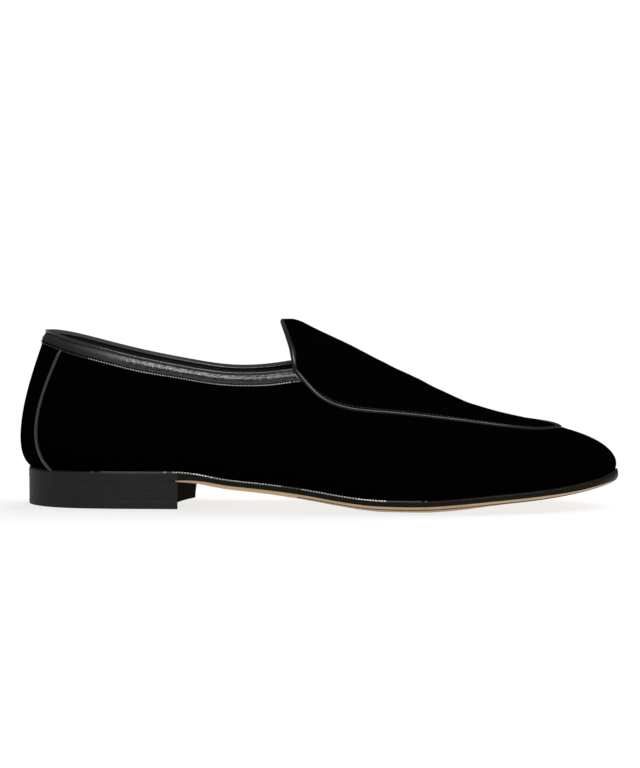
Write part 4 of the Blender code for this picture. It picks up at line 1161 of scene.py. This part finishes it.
def build_outsole():
    """Rings from the tread by the bevel and the edge to the top. Each is a place and a finish.

    Insets are millimetres from the sole's outline.
    """
    plan, out = round_sole(outline), round_sole(outline_normal)
    x = plan[:, 0]
    full = chamfer(x)
    ripple = 0.03 * MM * np.sin(x / (3.7 * MM)) * np.sin(x / (11 * MM) + 1)
    low, flat = edge_bottom(x), sole_bottom(x)
    rings, finish_of = [], []

    def add(inset, z, finish):
        ring = plan - (inset * MM + np.zeros(len(x)))[:, None] * out
        rings.append(np.column_stack([ring, z]))
        finish_of.append(finish)

    def under(inset, finish=TREAD, groove=0.0):
        """A ring on the underside, which rises from its flat middle to the edge."""
        share = (12 - inset) / (12 - CHAMFER_WIDTH / MM)
        add(inset, flat + (low - flat) * share**1.25 + groove * MM, finish)

    plain = 0.2 + 0.8 * full
    nose = smooth((x / SOLE_LENGTH - 0.93) / 0.06)

    def bevel(share, hollow, finish):
        """A ring on the bevel, from the underside (share 0) to the black edge (1)."""
        inset = 0.25 * plain + (1 - share) * (0.25 * plain + 2.1 * full) - hollow * full
        add(inset + 0.6 * nose, low + share * (0.25 + 1.75 * full) * MM + ripple * share, finish)

    for inset in (12, 11.2, 10.4, 9.6, 8.8, 8.0, 7.4):
        under(inset)
    for inset, groove, finish in ((7.05, 0.0, LINE), (6.85, 0.28, LINE), (6.65, 0.0, TREAD)):
        under(inset, finish, groove)
    for inset in (6.0, 5.2, 4.4, 3.6, 3.1):
        under(inset)
    bevel(0.0, 0.0, TREAD)
    # The first two of these rings start a dark band of painted shade low on the bevel.
    for share, hollow, finish in ((0.06, 0.05, LOW_PAINTED_SHADE), (0.22, 0.04, LOW_PAINTED_SHADE), (0.36, 0.14, TAN)):
        bevel(share, hollow, finish)
    for share in (0.44, 0.52, 0.64, 0.76, 0.88, 0.95):
        bevel(share, 0.2 * math.sin(math.pi * share), TAN)
    bevel(1.0, 0.0, EDGE)
    start = (0.25 + 1.75 * full) * MM
    rise = edge_top(x) - low - start
    for inset, share in ((0.10, 0.05), (0.0, 0.11), (0.02, 0.18), (0.10, 0.26), (0.13, 0.42), (0.12, 0.6),
                         (0.04, 0.72), (0.0, 0.79), (0.03, 0.86), (0.14, 0.93), (0.32, 0.98), (0.6, 1.0),
                         (1.2, 1.0), (2.4, 1.0), (6.0, 0.98)):
        rounded = 0.9 * abs(2 * share - 1) ** 2.5 * nose
        add((inset if share > 0.75 else inset * plain) + rounded, low + start + rise * share, EDGE)
    points, index = loft(rings)
    quads = grid_faces(index, closed_columns=True)
    middle = points[quads][:, :, 0].mean(axis=1)
    marks = np.repeat(np.array(finish_of[:-1]), index.shape[1])
    # The band of painted shade low on the bevel fades out at the waist, and the heel's seat is black to its
    # inner edge.
    marks = np.where((marks == LOW_PAINTED_SHADE) & (middle < 0.136), TAN, marks)
    marks = np.where(marks == LOW_PAINTED_SHADE, LINE, marks)
    near_edge = np.repeat(np.arange(len(finish_of) - 1) > 8, index.shape[1])
    inked = (marks == TAN) | ((marks == TREAD) & near_edge)
    marks = np.where(inked & (middle < HEEL_LENGTH - 0.8 * MM), EDGE, marks)
    marks = np.where((marks == EDGE) & (middle < HEEL_LENGTH), OVER_HEEL, marks)
    finishes = [sole_edge, tan, tread, channel_and_painted_shade, heel_ink]
    add_piece("sole", points, [quads, *strip_caps(index)], finishes, "outsole_leather", ["outsole"],
              [marks, TREAD, TREAD, EDGE, EDGE], sharp=50)


def build_edge_beads():
    """The wheeled line on top of the sole's edge: its beads carry a painted highlight, in steps of
    brightness, along the heel and waist, and are plain black round the toe.

    Between limits, which are distances from the shoe's back, each highlight level is a finish's number.
    """
    rows, marks = [], []
    limits = np.array([0.034, 0.072, 0.085, 0.093, 0.126, 0.141, 0.165, 0.178, 0.2])
    highlight_levels = np.array([0, 1, 2, 3, 2, 1, 2, 3, 1, 0])
    dice = np.random.default_rng(5)
    for side in (OUTER, INNER):
        total = total_length(outline(side, np.linspace(0, 1, 1200)))
        shares = (np.arange(0.7 * MM, total, 1.45 * MM)) / total
        lift = (0.10 + dice.uniform(-0.04, 0.04, len(shares))) * MM
        plan, ahead = edge_point(side, shares, 0.62 * MM), edge_point(side, shares + 0.002, 0.62 * MM)
        places, onward = (np.column_stack([at, edge_top(at[:, 0]) + lift]) for at in (plan, ahead))
        ups = np.broadcast_to(UP, places.shape)
        rows.append(stitches(places, onward - places, ups, 1.12 * MM, 0.66 * MM, 0.78 * MM))
        shade = highlight_levels[np.searchsorted(limits, places[:, 0] + dice.normal(0, 2.5 * MM, len(places)))]
        marks += [np.repeat(shade, len(faces) // len(shade)) for faces in rows[-1][1]]
    # Black, then painted highlights from faint to brightest.
    finishes = [sole_edge, bead_painted_faint_highlight, bead_painted_highlight, bead_painted_glint]
    add_piece("sole_edge_beads", *joined(rows), finishes, "outsole_leather", finish_rows=marks)


SIDE_POINTS, BREAST_POINTS = 130, 70


def heel_outline(inset, z, flare):
    """The heel's outline: the sole's edge round the back, then the hollow breast between its two corners."""
    inset_below = HEEL_INSET / 3 + inset
    sides = {}
    for side, reach in ((OUTER, 0), (INNER, BREAST_SLANT + flare)):
        shares = np.linspace(0, 1, CURVE_SAMPLES)
        corner = np.interp(HEEL_LENGTH + reach - inset, edge_point(side, shares, inset_below)[:, 0], shares)
        sides[side] = edge_point(side, np.linspace(0, corner, SIDE_POINTS), inset_below)
    start, end = sides[OUTER][-1], sides[INNER][-1]
    share = np.linspace(0, 1, BREAST_POINTS + 2)[1:-1, None]
    arc = start + (end - start) * share
    arc[:, 0] -= (4 * share * (1 - share) * BREAST_HOLLOW)[:, 0]
    plan = np.concatenate([sides[OUTER], arc, sides[INNER][:0:-1]])
    return np.column_stack([plan, np.full(len(plan), z)])


def build_heel():
    """The stacked block: two lifts and the top lift, with a fine groove between each pair.

    Rings are an inset and a height in millimetres. The first three close the top lift, which the floor hides.
    """
    top = HEEL_HEIGHT - 0.04 * MM
    rings = ((1.6, 0.0), (0.45, 0.0), (0.18, 0.08), (0.04, 0.26), (0.0, 0.55), (0.0, 1.6), (0.0, 2.9),
             (0.01, 4.3), (0.05, 4.42), (0.05, 4.5), (0.01, 4.62), (0.0, 5.6), (0.0, 7.2), (0.01, 8.6),
             (0.03, 8.7), (0.03, 8.76), (0.01, 8.86), (0.0, 10.2), (0.0, 12.0), (0.0, 13.0), (0.06, top / MM))
    laid = np.array([heel_outline(inset * MM, z * MM, BREAST_FLARE * (z * MM / top) ** 1.5)
                     for inset, z in rings])
    rows, count = laid.shape[0] - 1, laid.shape[1]
    column = np.arange(count)
    breast = (column >= SIDE_POINTS - 1) & (column < SIDE_POINTS + BREAST_POINTS)
    marks = np.where(breast[None, :], 2, np.where(np.arange(rows)[:, None] < 3, 1, 0))
    add_piece("heel_block", *capped(laid), [heel_ink, top_lift, breast_ink], "heel_leather", ["heel"],
              [marks.ravel(), 1, 0], 45)


def build_sock():
    """The leather sock inside, with a rounded edge. Rings are an inset and a lift in millimetres."""
    plan, out = round_sole(outline), round_sole(outline_normal)
    rings = []
    for inset, lift in ((0, 0.1), (0, 1.2), (0, 1.9), (0.12, 2.25), (0.34, 2.52), (0.7, 2.7), (1.2, 2.78),
                        (2.2, 2.8), (3.6, 2.8), (5.5, 2.8)):
        ring = plan - ((EDGE_MARGIN + WALL) / MM + 0.12 + inset) * MM * out
        rings.append(np.column_stack([ring, edge_top(ring[:, 0]) + lift * MM]))
    points, index = loft(rings)
    groups = [grid_faces(index, closed_columns=True), *strip_caps(index)]
    add_piece("sock", points, groups, sock, "lining_leather", ["insole"], sharp=50)


build_quarters()
build_apron()
build_lining()
build_band()
build_band_stitches()
build_apron_cord()
build_apron_stitches()
build_heel_cord("heel_cord_outer", OUTER, "heel_piping_outer")
build_heel_cord("heel_cord_inner", INNER, "heel_piping_inner")
build_outsole()
build_edge_beads()
build_heel()
build_sock()


# Floor, light and camera

def build_floor():
    reach = 6.0
    corners = [(x * reach, y * reach, 0) for x, y in ((-1, -1), (1, -1), (1, 1), (-1, 1))]
    mesh = bpy.data.meshes.new("floor")
    mesh.from_pydata(corners, [], [(0, 1, 2, 3)])
    paper = bpy.data.materials.new("white_table")
    paper.use_nodes = True
    shader = paper.node_tree.nodes["Principled BSDF"]
    for key, value in {"Base Color": (0.3, 0.3, 0.3, 1), "Roughness": 1.0, "Specular IOR Level": 0.0,
                       "Emission Color": (1, 1, 1, 1), "Emission Strength": 0.76}.items():
        shader.inputs[key].default_value = value
    mesh.materials.append(paper)
    table = bpy.data.objects.new("floor", mesh)
    bpy.context.scene.collection.objects.link(table)


def build_world():
    """White where the camera sees it. What lights the shoe is brighter above and at the sides than ahead."""
    world = bpy.data.worlds.new("studio")
    bpy.context.scene.world = world
    world.use_nodes = True
    tree = world.node_tree
    tree.nodes.clear()
    place = lay(tree, "TexCoord", "Generated", {})
    strength = 0.07
    for axis, low, high, most in (("Z", 0.4, 1.0, 0.4), ("X", 0.35, 0.95, 0.22), ("X", -0.35, -0.95, 0.42)):
        part = lay(tree, "SeparateXYZ", axis, {"Vector": place})
        limits = {"From Min": low, "From Max": high, "To Max": most}
        span = lay(tree, "MapRange", "Result", {**limits, "Value": part})
        strength = lay(tree, "Math", "Value", {0: span, 1: strength}, operation="ADD")
    white = (1, 1, 1, 1)
    seen = lay(tree, "Background", "Background", {"Color": white, "Strength": 1.15})
    lit = lay(tree, "Background", "Background", {"Color": white, "Strength": strength})
    camera = lay(tree, "LightPath", "Is Camera Ray", {})
    both = lay(tree, "MixShader", "Shader", {0: camera, 1: lit, 2: seen})
    tree.links.new(both, tree.nodes.new("ShaderNodeOutputWorld").inputs["Surface"])


def soft_lamp(kind, name, place, size, energy, on_table):
    """A lamp that shines from this place, on the table alone or on all but the table.

    A sun is this wide in radians, a sheet has this size.
    """
    data = bpy.data.lights.new(name, kind)
    data.energy = energy
    if kind == "SUN":
        data.angle = size
    else:
        data.shape = "RECTANGLE"
        data.size, data.size_y = size
    lamp = bpy.data.objects.new(name, data)
    lamp.location = place
    lamp.rotation_euler = Vector(place).to_track_quat("Z", "Y").to_euler()
    bpy.context.scene.collection.objects.link(lamp)
    lit = bpy.data.collections.new(name + "_receivers")
    lit.objects.link(bpy.data.objects["floor"])
    lamp.light_linking.receiver_collection = lit
    lit.collection_objects[0].light_linking.link_state = "INCLUDE" if on_table else "EXCLUDE"


def build_camera():
    azimuth, elevation, distance = math.radians(3.0), math.radians(4.3), 2.2
    level = math.cos(elevation)
    back = Vector((math.sin(azimuth) * level, -math.cos(azimuth) * level, math.sin(elevation)))
    middle = Vector((0.145, 0.0, 0.047)) + Vector(SHIFT)
    # The lens gives this many pixels for a metre at a distance of one metre, in a frame of 768 pixels.
    pixels = 4406.6
    data = bpy.data.cameras.new("camera")
    data.sensor_width = 36
    data.lens = pixels * 36 / 768
    camera = bpy.data.objects.new("camera", data)
    camera.location = middle + back * distance
    turn = (-back).to_track_quat("-Z", "Y")
    up, right = turn @ Vector((0, 1, 0)), turn @ Vector((1, 0, 0))
    # The shoe's middle stands a little below and left of the frame's own.
    aim = middle + up * (26.0 / pixels * distance) + right * (0.4 / pixels * distance)
    camera.rotation_euler = (aim - camera.location).to_track_quat("-Z", "Y").to_euler()
    bpy.context.scene.collection.objects.link(camera)
    bpy.context.scene.camera = camera


build_floor()
build_world()
soft_lamp("SUN", "from_behind", (0.478, 0.569, 0.669), math.radians(65), 2.6, True)
soft_lamp("AREA", "softbox", (0.30, -0.50, 1.04), (1.0, 0.5), 24, False)
build_camera()
bpy.context.scene.view_settings.view_transform = "Standard"
